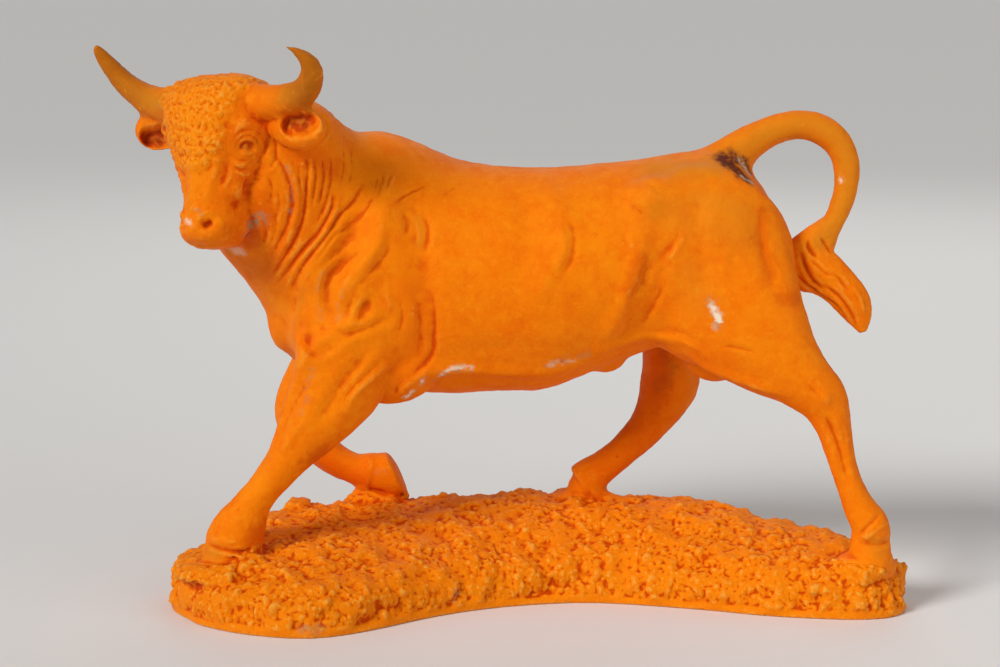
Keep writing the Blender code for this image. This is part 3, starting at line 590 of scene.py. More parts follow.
# Relief: views, height (a hollow is negative), breadth, and the path in those views.
RELIEF = [
    # Brow, nose bridge and cheek
    (("face",), 0.25, 0.6, [(0.0, -3.6), (0.0, -6.6)]),
    (CHEEKS, 0.35, 0.7, [(1.5, -1.2), (0.9, -1.6), (0.1, -2.0)]),
    (CHEEKS, -0.3, 0.5, [(-0.3, -4.6), (-0.5, -6.0), (0.2, -6.8)]),
    (("face",), -0.4, 0.32, [(0.9, -8.1), (1.4, -7.75)]),
    (("face",), -0.4, 0.32, [(-0.9, -8.1), (-1.4, -7.75)]),
    # Folds of the neck, on the side that it bends to
    (("near",), 0.07, 0.4, [(-15.3, 25.8), (-15.2, 25.4), (-15.6, 23.3), (-16.3, 21.2)]),
    (("near",), 0.07, 0.4, [(-14.1, 25.3), (-14.7, 22.7), (-16.0, 20.4)]),
    (("near",), 0.07, 0.4, [(-13.0, 25.3), (-13.8, 22.3), (-15.5, 19.4)]),
    (("near",), 0.07, 0.4, [(-11.9, 25.6), (-12.8, 22.7), (-15.0, 19.0)]),
    (("near",), 0.07, 0.4, [(-10.8, 25.9), (-11.7, 23.0), (-14.0, 19.4)]),
    (("far",), 0.2, 0.6, [(-12.6, 27.8), (-12.4, 24.4), (-13.8, 20.0)]),
    (("front",), -0.3, 0.8, [(-1.2, 20.5), (-1.0, 17.0), (-0.9, 14.4)]),
    # Shoulder, breast and upper arm
    (BODY, -0.4, 0.9, [(-5.7, 25.4), (-5.3, 22.8), (-4.9, 19.4), (-4.9, 16.2), (-5.2, 14.6)]),
    (BODY, 0.35, 0.8, [(-7.2, 26.4), (-7.8, 23.4), (-9.1, 20.4), (-10.2, 18.6)]),
    (BODY, -0.25, 0.6, [(-9.0, 25.8), (-9.8, 22.8), (-11.0, 20.4)]),
    (BODY, 0.3, 0.7, [(-10.7, 23.6), (-11.9, 21.0), (-12.3, 18.7), (-12.2, 17.0)]),
    (BODY, 0.35, 0.8, [(-13.3, 16.9), (-12.8, 15.4), (-12.2, 14.0)]),
    (("near",), 0.3, 0.6, [(-13.4, 13.2), (-12.4, 15.4), (-10.4, 16.9), (-8.5, 17.6)]),
    (("near",), -0.25, 0.5, [(-12.0, 10.6), (-10.4, 13.2), (-8.6, 15.6)]),
    (("near",), -0.2, 0.4, [(-14.6, 9.4), (-13.8, 11.6), (-12.6, 13.4)]),
    # Barrel
    (BODY, 0.18, 0.8, [(2.9, 26.1), (3.9, 24.4), (4.2, 23.1), (3.4, 20.9), (2.2, 18.6)]),
    (BODY, -0.12, 0.7, [(1.2, 25.6), (1.8, 23.0), (1.0, 19.6)]),
    (BODY, 0.25, 0.6, [(-6.3, 13.2), (-4.6, 13.9), (-1.0, 13.9), (3.2, 13.8), (6.2, 14.7)]),
    (BODY, -0.08, 0.7, [(-3.6, 15.2), (0.4, 15.6), (4.2, 15.7)]),
    # Flank and haunch
    (BODY, 0.3, 0.7, [(9.4, 24.0), (8.9, 20.8), (7.9, 17.9), (6.6, 15.6)]),
    (BODY, -0.26, 1.0, [(10.9, 23.6), (10.3, 20.8), (9.4, 18.2), (8.2, 16.4)]),
    (BODY, 0.25, 1.0, [(10.0, 26.0), (9.0, 24.6)]),
    (BODY, -0.25, 0.8, [(13.2, 26.0), (12.6, 23.6), (13.4, 20.4)]),
    (BODY, 0.25, 0.5, [(5.9, 14.8), (7.9, 15.8), (9.8, 16.1), (11.8, 15.8)]),
    (BODY, -0.2, 0.6, [(16.6, 24.4), (17.0, 22.6), (17.5, 20.6), (18.4, 18.6)]),
    (("near",), -0.12, 0.5, [(17.0, 16.6), (18.8, 14.6), (20.6, 13.0)]),
    (("near",), 0.25, 0.4, [(13.0, 14.4), (16.0, 13.4), (18.6, 12.6)]),
    (("rear",), -0.5, 0.8, [(0.0, 25.4), (-0.2, 22.0), (-0.4, 18.6), (-0.6, 16.0)]),
    # Tendons and hocks
    (("near",), -0.25, 0.3, [(21.3, 11.2), (22.3, 9.0), (23.0, 6.4)]),
    (("far",), -0.25, 0.3, [(11.6, 10.6), (10.2, 8.3), (8.6, 6.6)]),
    (("near",), 0.2, 0.5, [(21.3, 12.3)]),
    # Hooves: the crown, and the cleft between the claws
    (("near",), -0.2, 0.28, [(23.4, 2.6), (25.0, 2.4), (26.4, 2.6)]),
    (("front",), -0.35, 0.25, [(-5.0, 2.6), (-5.0, 0.8)]),
    (("rear",), -0.35, 0.25, [(-4.6, 3.6), (-4.6, 1.4)]),
]

def distance_to(points, path):
    """Distance of each point from a polyline, and how far along it the nearest place is, 0 to 1."""
    if len(path) == 1:
        return np.linalg.norm(points - path[0], axis=1), np.full(len(points), 0.5)
    nearest = np.full(len(points), 1e9)
    along = np.zeros(len(points))
    for i, (a, b) in enumerate(zip(path, path[1:])):
        run = b - a
        t = np.clip((points - a) @ run / max(run @ run, 1e-9), 0, 1)
        gap = np.linalg.norm(points - a - t[:, None] * run, axis=1)
        closer = gap < nearest
        nearest[closer] = gap[closer]
        along[closer] = (i + t[closer]) / (len(path) - 1)
    return nearest, along

def smooth(drawn):
    """A drawn path with its corners rounded. A single place stays as it is."""
    return spline(drawn) if len(drawn) > 1 else drawn

def nearby(points, path, reach):
    """The points inside the path's box, grown by a reach."""
    low, high = np.min(path, axis=0) - reach, np.max(path, axis=0) + reach
    return np.flatnonzero(np.all((points > low) & (points < high), axis=1))

def carve(mesh, points):
    """The broad relief, which is drawn in plain views of the figure and the face."""
    normals = normals_of(mesh, points)
    tree = tree_of(mesh, points)
    lift = np.zeros(len(points))
    for views, height, breadth, drawn in RELIEF:
        for aim in (VIEWS[name] for name in views):
            eye = aim.to_3x3() @ Vector((0, 0, 1))
            hits = [tree.ray_cast(aim @ Vector((u, v, VIEW_RANGE)), -eye)[0] for u, v in smooth(drawn)]
            path = [np.array(hit) for hit in hits if hit is not None]
            if not path:
                continue
            close = nearby(points, path, 2.5 * breadth)
            gap, along = distance_to(points[close], path)
            ends = ramp(along, -0.15, 0.25) * ramp(1 - along, -0.15, 0.25)
            facing = ramp(normals[close] @ np.array(eye), -0.2, 0.35)
            lift[close] += height * np.exp(-((gap / breadth) ** 2)) * ends * facing
    return points + lift[:, None] * normals

def ground_height(x, y):
    """Height of the mound at a place."""
    stations, front, rear, ridge, height = np.array(GROUND).T
    front, rear, ridge, height = (np.interp(x, stations, line) for line in (front, rear, ridge, height))
    t = np.where(y < ridge, (y - front) / (ridge - front), (rear - y) / (rear - ridge))
    height = height * rise_of(np.clip(t, 0, 1))
    for centre, radii in HEAPS:
        inside = 1 - ((x - centre[0]) / radii[0]) ** 2 - ((y - centre[1]) / radii[1]) ** 2
        dome = centre[2] + radii[2] * np.sqrt(np.clip(inside, 0, 1))
        height = np.where(inside > 0, np.maximum(height, dome), height)
    return height

# Fades, in centimetres: lumps and crumbs over the mound's height, and lumps and crumbs over the underside.
LUMPS_OVER, CRUMBS_OVER = (0.15, 0.7), (0.25, 0.8)
LUMPS_FROM, CRUMBS_FROM = (0.15, 0.7), (0.35, 0.75)

def from_below(z, fade):
    """0 at the underside, 1 above a fade."""
    return ramp(z, fade[0] - BASE_DATUM_CM, fade[1] - BASE_DATUM_CM)

def roughen(mesh, points, spacing, relief):
    """Lumps on the ground, none on the bull or beneath."""
    normals = normals_of(mesh, points)
    x, y, z = points.T
    over = z - ground_height(x, y)
    loose = (1 - ramp(over, *LUMPS_OVER)) * from_below(z, LUMPS_FROM)
    lift = np.zeros(len(points))
    for i in np.flatnonzero(loose):
        place = Vector(points[i]) / spacing
        lift[i] = noise.noise(place) + 0.5 * noise.noise(place * 2.1)
    return points + (relief * loose * lift)[:, None] * normals

def dice(cells, seed):
    """Three even random numbers from 0 to 1 for each whole-numbered cell, by mixing the bits of its place."""
    x, y, z = cells.astype(np.int64).astype(np.uint64).T
    h = (x * np.uint64(0x9E3779B97F4A7C15)) ^ (y * np.uint64(0xC2B2AE3D27D4EB4F))
    h = h ^ (z * np.uint64(0x165667B19E3779F9)) ^ np.uint64(seed * 7919 + 11)
    found = []
    for _ in range(3):
        h = (h ^ (h >> np.uint64(29))) * np.uint64(0xBF58476D1CE4E5B9)
        h = h ^ (h >> np.uint64(32))
        found.append((h & np.uint64(0xFFFFFF)).astype(float) / 0xFFFFFF)
    return np.stack(found, axis=1)

def waves(points, spacing, seed):
    """Smooth noise from about -1 to 1 whose lumps are about this far apart."""
    spots = points / spacing + 3.7 * seed
    base = np.floor(spots)
    part = spots - base
    ease = part**3 * (part * (part * 6 - 15) + 10)
    total = np.zeros(len(spots))
    for corner in itertools.product((0, 1), repeat=3):
        slope = dice(base + corner, seed) * 2 - 1
        weight = np.prod(np.where(corner, ease, 1 - ease), axis=1)
        total += weight * np.sum(slope * (part - corner), axis=1)
    return total * 1.7

def layered(points, layers, lift=0.0):
    """Adds layers of noise to a lift. A layer is height, spacing, seed."""
    for height, spacing, seed in layers:
        lift = lift + height * waves(points, spacing, seed)
    return lift

def stirred(points, by, spacing, seeds, spots=None):
    """The spots, or else the points, shifted about by noise of the points, one seed for each axis."""
    shift = by * np.stack([waves(points, spacing, seed) for seed in seeds], axis=1)
    return (points if spots is None else spots) + shift

def pebbles(points, spacing, seed, steep):
    """Cones over scattered seeds, 1 at a seed and 0 away from it, and a number that the nearest seed draws."""
    spots = points / spacing + 1.3 * seed
    base = np.floor(spots)
    nearest, lot = np.full(len(spots), 9.0), np.zeros(len(spots))
    for step in itertools.product((-1, 0, 1), repeat=3):
        seeds = dice(base + step, seed)
        gap = np.linalg.norm(base + step + seeds - spots, axis=1)
        nearer = gap < nearest
        lot = np.where(nearer, (seeds[:, 0] * 13 + seeds[:, 1] * 7) % 1, lot)
        nearest = np.where(nearer, gap, nearest)
    return np.clip(1 - steep * nearest, 0, 1), lot

# A drawn path stops where it would step further than this over the skin.
LONGEST_STEP = 2.5
EYE = Vector(CAMERA_AIM) + CAMERA_RANGE * Vector((0, -math.cos(CAMERA_TILT), math.sin(CAMERA_TILT)))

def sight(across, down):
    """The line from the camera through a place in the picture."""
    focal = LENS / SENSOR * PICTURE[0]
    up = Vector((0, math.sin(CAMERA_TILT), math.cos(CAMERA_TILT)))
    ahead = Vector((0, math.cos(CAMERA_TILT), -math.sin(CAMERA_TILT)))
    line = ahead + Vector((1, 0, 0)) * (across - PICTURE[0] / 2) / focal - up * (down - PICTURE[1] / 2) / focal
    return EYE, line.normalized()

# Strokes in the picture: height (a hollow is negative), breadth, path. Those of the head also lie on its far
# side, and those of the body on its far flank.
HEAD_STROKES = [
    # Eye: socket, ball, lids, arched wrinkles above and bags below
    (-0.24, 0.32, [(238, 148), (246, 145), (254, 147)]),
    (0.27, 0.23, [(246, 147)]),
    (0.11, 0.10, [(238, 149), (241, 142), (247, 139), (253, 141), (257, 147)]),
    (-0.05, 0.08, [(235, 147), (239, 139), (247, 135), (256, 139), (260, 147)]),
    (0.06, 0.10, [(239, 152), (245, 154), (252, 153), (257, 149)]),
    (0.07, 0.20, [(231, 134), (241, 127), (252, 125), (263, 130), (269, 141)]),
    (-0.04, 0.10, [(232, 144), (238, 133), (249, 130), (260, 134), (266, 145)]),
    (-0.04, 0.10, [(258, 142), (259, 150), (256, 158), (248, 166)]),
    (0.05, 0.12, [(262, 142), (263, 152), (260, 162), (252, 171)]),
    (-0.05, 0.10, [(234, 157), (240, 160), (248, 160)]),
    (0.07, 0.13, [(233, 161), (240, 165), (249, 163)]),
    (-0.06, 0.10, [(233, 166), (241, 170), (250, 168)]),
    (0.04, 0.12, [(236, 172), (244, 175), (252, 173)]),
    (0.10, 0.20, [(267, 132), (271, 142), (269, 154), (262, 164)]),
    (-0.09, 0.12, [(272, 132), (276, 146), (275, 160), (268, 170)]),
    (0.12, 0.26, [(222, 150), (215, 170), (209, 188), (206, 204)]),
    (-0.10, 0.40, [(231, 152), (226, 168), (221, 186)]),
    # Side of the face: its fullness, and wrinkles of the cheek
    (0.20, 0.60, [(250, 174), (252, 194), (246, 214)]),
    (0.16, 0.40, [(237, 182), (239, 198), (240, 214)]),
    (-0.05, 0.13, [(228, 164), (225, 177), (218, 188)]),
    (0.04, 0.13, [(232, 168), (229, 180), (222, 192)]),
    (0.05, 0.16, [(262, 168), (266, 182), (262, 198)]),
    (-0.06, 0.14, [(268, 174), (272, 190), (268, 206)]),
    (-0.05, 0.12, [(276, 186), (279, 204), (274, 222)]),
    (0.12, 0.15, [(197, 224), (201, 216), (209, 212), (218, 215)]),
    (0.06, 0.14, [(218, 216), (222, 224), (219, 232)]),
    (-0.05, 0.14, [(222, 238), (230, 232), (236, 226)]),
]
STROKES = [
    # Near ear: rim behind it
    (0.12, 0.2, [(324, 112), (330, 124), (326, 140), (316, 148)]),
    # Neck: fine upright wrinkles under the ear
    (-0.09, 0.13, [(306, 156), (308, 172), (306, 196)]),
    (-0.09, 0.13, [(314, 156), (316, 176), (312, 204)]),
    (-0.09, 0.13, [(322, 156), (324, 178), (319, 206)]),
    (-0.08, 0.14, [(331, 144), (331, 180), (325, 206), (316, 224)]),
    (-0.05, 0.11, [(298, 158), (299, 174), (300, 190)]),
    (-0.05, 0.11, [(343, 140), (344, 164), (341, 186)]),
    (-0.04, 0.11, [(351, 150), (352, 170), (348, 188)]),
    (0.04, 0.14, [(337, 128), (338, 156), (337, 178)]),
    # Neck: grooves that sweep down to the throat
    (-0.11, 0.16, [
        (270, 132), (273, 150), (283, 168), (290, 186), (292, 204), (288, 222), (279, 240), (270, 256),
    ]),
    (0.11, 0.17, [(279, 146), (289, 164), (296, 182), (298, 204), (294, 224), (286, 244), (274, 262)]),
    (-0.10, 0.15, [(303, 168), (306, 188), (305, 208), (300, 228), (290, 248), (278, 266), (266, 284)]),
    (-0.13, 0.16, [(334, 188), (331, 210), (319, 232), (303, 250), (289, 268), (275, 286)]),
    (0.09, 0.16, [(340, 196), (334, 216), (323, 236), (306, 256), (294, 274), (284, 294)]),
    (-0.14, 0.17, [(363, 184), (353, 202), (338, 217), (329, 232), (313, 252), (301, 268), (291, 288)]),
    (0.09, 0.18, [(360, 206), (345, 222), (334, 240), (318, 260), (304, 280), (297, 300)]),
    (-0.11, 0.15, [(346, 228), (334, 236), (323, 252), (311, 268)]),
    (-0.07, 0.14, [(374, 196), (364, 212), (352, 224)]),
    (-0.06, 0.13, [(262, 216), (266, 232), (262, 246)]),
    (-0.06, 0.13, [(274, 214), (276, 230), (268, 248)]),
    (0.04, 0.14, [(268, 214), (271, 232), (265, 248)]),
    # Short creases of the middle of the neck
    (-0.06, 0.12, [(378, 178), (375, 190)]),
    (-0.07, 0.12, [(384, 174), (378, 196)]),
    (-0.06, 0.12, [(391, 174), (386, 190)]),
    (-0.07, 0.13, [(395, 205), (402, 198), (413, 192), (428, 185)]),
    (-0.04, 0.14, [(441, 200), (448, 192), (458, 186)]),
    # Tuft of the tail
    (-0.24, 0.14, [(807, 240), (810, 250), (818, 258)]),
    (-0.30, 0.15, [(802, 254), (806, 268), (814, 282), (824, 290)]),
    (-0.21, 0.14, [(812, 262), (824, 272), (838, 278), (848, 290)]),
    (0.18, 0.16, [(808, 262), (820, 270), (834, 276), (846, 284)]),
    (-0.21, 0.14, [(810, 288), (822, 296), (836, 306), (846, 320)]),
    (-0.18, 0.14, [(822, 284), (838, 296), (850, 312), (856, 326)]),
    (0.15, 0.14, [(852, 286), (860, 298), (864, 312)]),
    (-0.15, 0.12, [(820, 236), (826, 246), (832, 254)]),
    (-0.18, 0.14, [(798, 276), (808, 286), (818, 290)]),
    # Knees, hocks and pasterns
    (0.12, 0.24, [(304, 420), (290, 440), (282, 454)]),
    (-0.05, 0.16, [(806, 384), (817, 394), (824, 408)]),
    (0.05, 0.18, [(800, 372), (816, 380), (830, 394)]),
    (-0.07, 0.14, [(842, 426), (845, 438), (844, 450)]),
    (-0.12, 0.14, [(857, 536), (868, 526), (880, 514)]),
    (0.10, 0.14, [(862, 542), (874, 532), (886, 524)]),
    (-0.18, 0.15, [(200, 540), (210, 545), (224, 550), (240, 552), (252, 548)]),
    (0.10, 0.20, [(204, 533), (216, 539), (230, 542), (244, 541)]),
    # Muzzle: mouth, nostrils, bridge and chin
    (-0.06, 0.11, [(183, 239), (194, 245), (206, 246), (217, 243)]),
    (-0.14, 0.19, [(203, 226), (208, 224), (213, 221)]),
    (-0.2, 0.16, [(180, 224), (182, 220)]),
    (0.08, 0.3, [(190, 207), (199, 208)]),
    (0.10, 0.3, [(200, 248), (212, 246)]),
]
BODY_STROKES = [
    # Folds of the shoulder and breast
    (0.12, 0.26, [(412, 214), (418, 222), (420, 234), (418, 246)]),
    (-0.08, 0.22, [(404, 212), (407, 224), (405, 236)]),
    (-0.08, 0.20, [(424, 216), (428, 230), (426, 250)]),
    (0.13, 0.28, [(381, 230), (379, 244), (365, 262), (353, 274), (343, 288), (339, 304), (339, 322)]),
    (-0.08, 0.23, [(390, 236), (386, 254), (372, 272), (358, 286), (350, 302), (347, 320)]),
    (0.13, 0.26, [(363, 238), (349, 248), (337, 258), (323, 270), (318, 286), (319, 308), (323, 322)]),
    (-0.08, 0.22, [(368, 246), (354, 256), (342, 266), (330, 278), (327, 294), (329, 314)]),
    (0.12, 0.28, [(305, 286), (299, 308), (297, 330), (301, 348), (313, 362)]),
    (-0.16, 0.39, [(306, 330), (309, 346), (315, 360)]),
    (-0.13, 0.30, [(323, 328), (349, 334), (373, 326), (388, 316)]),
    (-0.12, 0.32, [(370, 298), (364, 312), (357, 324)]),
    (0.08, 0.23, [(386, 288), (388, 302), (388, 318)]),
    (0.08, 0.23, [(372, 290), (358, 304), (350, 322)]),
    (-0.08, 0.23, [(398, 296), (402, 316), (398, 336)]),
    (0.08, 0.26, [(410, 296), (414, 318), (412, 340)]),
    # Upper arm
    (0.12, 0.32, [(313, 366), (333, 354), (353, 340), (381, 324)]),
    (-0.10, 0.22, [(383, 358), (365, 376), (349, 392), (343, 404)]),
    (0.09, 0.26, [(395, 360), (377, 374), (355, 394), (347, 412)]),
    (-0.08, 0.20, [(405, 372), (399, 384), (395, 396)]),
    (-0.09, 0.21, [(430, 292), (434, 310), (434, 336), (432, 354), (420, 368), (405, 382), (391, 400)]),
    (0.08, 0.28, [(422, 300), (426, 320), (426, 344), (422, 356)]),
    (-0.04, 0.32, [(445, 228), (443, 240), (440, 252)]),
    # Flank and haunch
    (-0.08, 0.26, [(566, 214), (574, 234), (572, 258), (562, 276)]),
    (0.08, 0.28, [(546, 216), (560, 232), (563, 250), (554, 270)]),
    (-0.09, 0.28, [(652, 256), (642, 280), (632, 300), (626, 314)]),
    (0.09, 0.26, [(660, 262), (650, 286), (640, 308), (630, 326)]),
    (-0.08, 0.22, [(664, 284), (654, 304), (642, 326)]),
    (-0.08, 0.28, [(680, 230), (672, 244), (660, 256)]),
    (0.08, 0.23, [(684, 234), (676, 250), (666, 262)]),
    (0.08, 0.26, [(634, 226), (631, 240), (634, 252)]),
    (0.08, 0.30, [(728, 250), (724, 264), (728, 284)]),
    (0.07, 0.23, [(688, 276), (690, 290), (696, 300)]),
    (-0.08, 0.24, [(761, 210), (762, 232), (765, 254), (775, 280)]),
    (0.05, 0.42, [(776, 214), (780, 238), (788, 264)]),
    (-0.04, 0.15, [(762, 210), (772, 210), (780, 214)]),
    (-0.07, 0.17, [(720, 346), (738, 348), (756, 352)]),
    (-0.04, 0.17, [(664, 326), (690, 336), (716, 350)]),
    (0.07, 0.22, [(640, 336), (668, 338), (692, 346), (716, 362)]),
]
# Bowls of the ears: height, which is negative, breadth, path. Tufts of hair stand in them.
BOWLS = [
    (-1.1, 0.72, [(290, 125), (298, 123), (306, 123)]),
    (-1.0, 0.72, [(149, 139), (158, 138), (168, 135)]),
]
TUFTS = (0.3, 0.5, 61)

def traced(tree, drawn):
    """The stroke's path on the skin, under its drawn path in the picture. It doesn't jump to a form behind."""
    path = []
    for across, down in smooth(drawn):
        hit = tree.ray_cast(*sight(across, down))[0]
        if hit is not None and (not path or np.linalg.norm(np.array(hit) - path[-1]) < LONGEST_STEP):
            path.append(np.array(hit))
    return path

def mirrored(tree, path, frame, axis):
    """The same path on the other side of a frame's middle, on the skin."""
    found = []
    for spot in path:
        place = frame.inverted() @ Vector(spot)
        place[axis] *= -1
        found.append(np.array(tree.find_nearest(frame @ place)[0]))
    return found

def reached(points, normals, tree, path, breadth):
    """The vertices in a stroke's reach, their distance from it, their place along it, and if they face alike."""
    close = nearby(points, path, 4 * breadth)
    gap, along = distance_to(points[close], path)
    middle = tree.find_nearest(path[len(path) // 2])[1]
    return close, gap, along, ramp(normals[close] @ np.array(middle), -0.2, 0.3)

def bowls(points, normals, tree):
    """Shift that hollows the ears, away from the camera."""
    shift = np.zeros_like(points)
    height_of_tufts, spacing, seed = TUFTS
    for height, breadth, drawn in BOWLS:
        close, gap, _, facing = reached(points, normals, tree, traced(tree, drawn), breadth)
        away = points[close] - np.array(EYE)
        away /= np.linalg.norm(away, axis=1)[:, None]
        tufts = height_of_tufts * np.clip(waves(points[close], spacing, seed), -0.4, 0.7)
        tufts = tufts * np.exp(-((gap / breadth) ** 2))
        shift[close] -= ((height * np.exp(-((gap / breadth) ** 4)) + tufts) * facing)[:, None] * away
    return shift

def scored(mesh, points):
    """The finer strokes, and the bowls of the ears. A hollow has raised lips."""
    normals = normals_of(mesh, points)
    tree = tree_of(mesh, points)
    lift = np.zeros(len(points))
    work = [(stroke, None) for stroke in STROKES]
    work += [(stroke, (FACE, 0)) for stroke in HEAD_STROKES]
    work += [(stroke, (Matrix(), 1)) for stroke in BODY_STROKES]
    for (height, breadth, drawn), pair in work:
        near_path = traced(tree, drawn)
        if not near_path:
            continue
        for path in [near_path] + ([mirrored(tree, near_path, *pair)] if pair else []):
            close, gap, along, facing = reached(points, normals, tree, path, breadth)
            ends = ramp(along, -0.12, 0.3) * ramp(1 - along, -0.12, 0.3)
            form = np.exp(-((gap / breadth) ** 2))
            if height < 0:
                form -= 0.25 * np.exp(-(((gap - 2 * breadth) / breadth) ** 2))
            lift[close] += height * form * ends * facing
    return points + lift[:, None] * normals + bowls(points, normals, tree)

def places_in(frame, points):
    """The points' left, forward and up in a head frame."""
    inverse = np.array(frame.inverted())
    return (points @ inverse[:3, :3].T + inverse[:3, 3]).T

# Pad of curls on the forehead: heights up the face, half width at each, and how near the head it stays.
PAD_UP = (-4.9, -3.8, -2.4, -0.9, 0.2, 1.6, 3.2)
PAD_HALF = (0.5, 1.6, 2.2, 2.6, 3.3, 3.3, 3.2)
PAD_REACH = (5.8, 5.2)
PAD_GRIT = [(0.07, 0.4, 18), (0.06, 0.2, 7)]

def curls(points, normals):
    """The pad's place, and the lift of its small crumpled locks."""
    left, ahead, up = places_in(FACE, points)
    toward = normals @ np.array(FACE.to_3x3())
    edge = np.interp(up, PAD_UP, PAD_HALF) + 0.45 * waves(points, 0.9, 3)
    pad = ramp(edge - left * np.where(left > 0, 1, -0.8), -0.25, 0.4)
    shown = ramp(np.maximum(toward[:, 1], toward[:, 2]), -0.2, 0.2)
    pad *= ramp(up, -4.8, -3.9) * shown * ramp(ahead, -2.4, -0.9)
    away = np.linalg.norm(points - np.array(HEAD_AT), axis=1)
    pad *= ramp(away, *PAD_REACH) * (1 - 0.55 * ramp(up, 0.8, 2.2))
    spots = stirred(points, 0.22, 0.6, (21, 22, 23))
    large, lot = pebbles(spots, 0.9, 5, 1.3)
    small, pick = pebbles(spots, 0.3, 17, 1.3)
    lumps = large * (0.2 + lot) + 0.4 * small * (0.2 + pick)
    locks = 1 - 2.2 * np.abs(waves(spots, 0.5, 6))
    return pad, pad * (0.14 + 0.15 * lumps + 0.03 * locks + 1.2 * layered(points, PAD_GRIT))

def on_hoof(points):
    """1 on and in the hooves, 0 away from them."""
    found = np.zeros(len(points))
    for crown, sole, lengths, widths, toe in HOOVES:
        crown, sole = np.array(crown), np.array(sole)
        height = np.linalg.norm(sole - crown)
        fall = (sole - crown) / height
        ahead = np.array(toe) / np.linalg.norm(toe)
        side = np.cross(fall, ahead)
        side /= np.linalg.norm(side)
        off = points - crown
        level = off @ fall / height
        down = np.clip(level, -0.3, 1.1)
        length = lengths[0] + (lengths[1] - lengths[0]) * down
        width = widths[0] + (widths[1] - widths[0]) * down
        out = off - np.outer(off @ fall, fall)
        girth = np.hypot(out @ ahead / length, out @ side / width)
        found = np.maximum(found, ramp(girth, 1.2, 1.05) * ramp(level, 1.25, 1.1) * ramp(level, -0.6, -0.3))
    return found

def horned(points):
    """1 on the horns, 0 elsewhere."""
    left, _, up = places_in(POLL, points)
    return ramp(np.abs(left), 4.4, 7.6) * ramp(up - 0.12 * (np.abs(left) - 6), -0.95, -0.55)

def looseness(points):
    """1 on the rough ground, 0 on the bull."""
    x, y, z = points.T
    return (1 - ramp(z - ground_height(x, y), *CRUMBS_OVER)) * (1 - on_hoof(points))

# Noise of the daubed ground and of the skin: height, spacing, seed.
DAUB = [(0.10, 2.1, 10), (0.06, 0.9, 12)]
HIDE = [(0.028, 1.1, 14), (0.018, 0.5, 15), (0.008, 0.26, 16)]
HEAD_HIDE = [(0.022, 0.42, 62), (0.016, 0.25, 63)]
DRAWN_UPRIGHT = 0.42

def crumbs(points, normals):
    """Lift of the daubed ground: ragged lumps of several sizes in crowds, longer on its steep edge."""
    upright = np.clip(1 - np.abs(normals[:, 2]), 0, 1)[:, None]
    spots = points * (1 - upright * np.array([0, 0, DRAWN_UPRIGHT]))
    spots = stirred(points, 0.18, 0.8, (31, 32, 33), spots)
    crowd = ramp(waves(points, 2.3, 51) + 0.3 * upright[:, 0], -0.7, 0.3)
    large, lot = pebbles(spots, 0.95, 8, 1.6)
    lumps = large * ramp(lot, 0.3, 0.5) * (0.4 + lot)
    small, pick = pebbles(spots, 0.52, 9, 1.5)
    grains = small * ramp(pick, 0.25, 0.45) * (0.3 + pick)
    tiny, draw = pebbles(points, 0.3, 19, 1.5)
    specks = tiny * ramp(draw, 0.3, 0.5)
    grit = 0.05 * waves(spots, 0.4, 11) + 0.04 * waves(points, 0.22, 13)
    heaped = crowd * (0.2 * lumps + 0.18 * grains) + (0.4 + 0.6 * crowd) * 0.11 * specks
    return heaped + layered(spots, DAUB) + grit - 0.1

def hide(points):
    """Lift of the skin's slight unevenness, which is rougher on the head."""
    head = ramp(np.linalg.norm(points - np.array(HEAD_AT), axis=1), 12.0, 8.0)
    return layered(points, HIDE, head * layered(points, HEAD_HIDE))
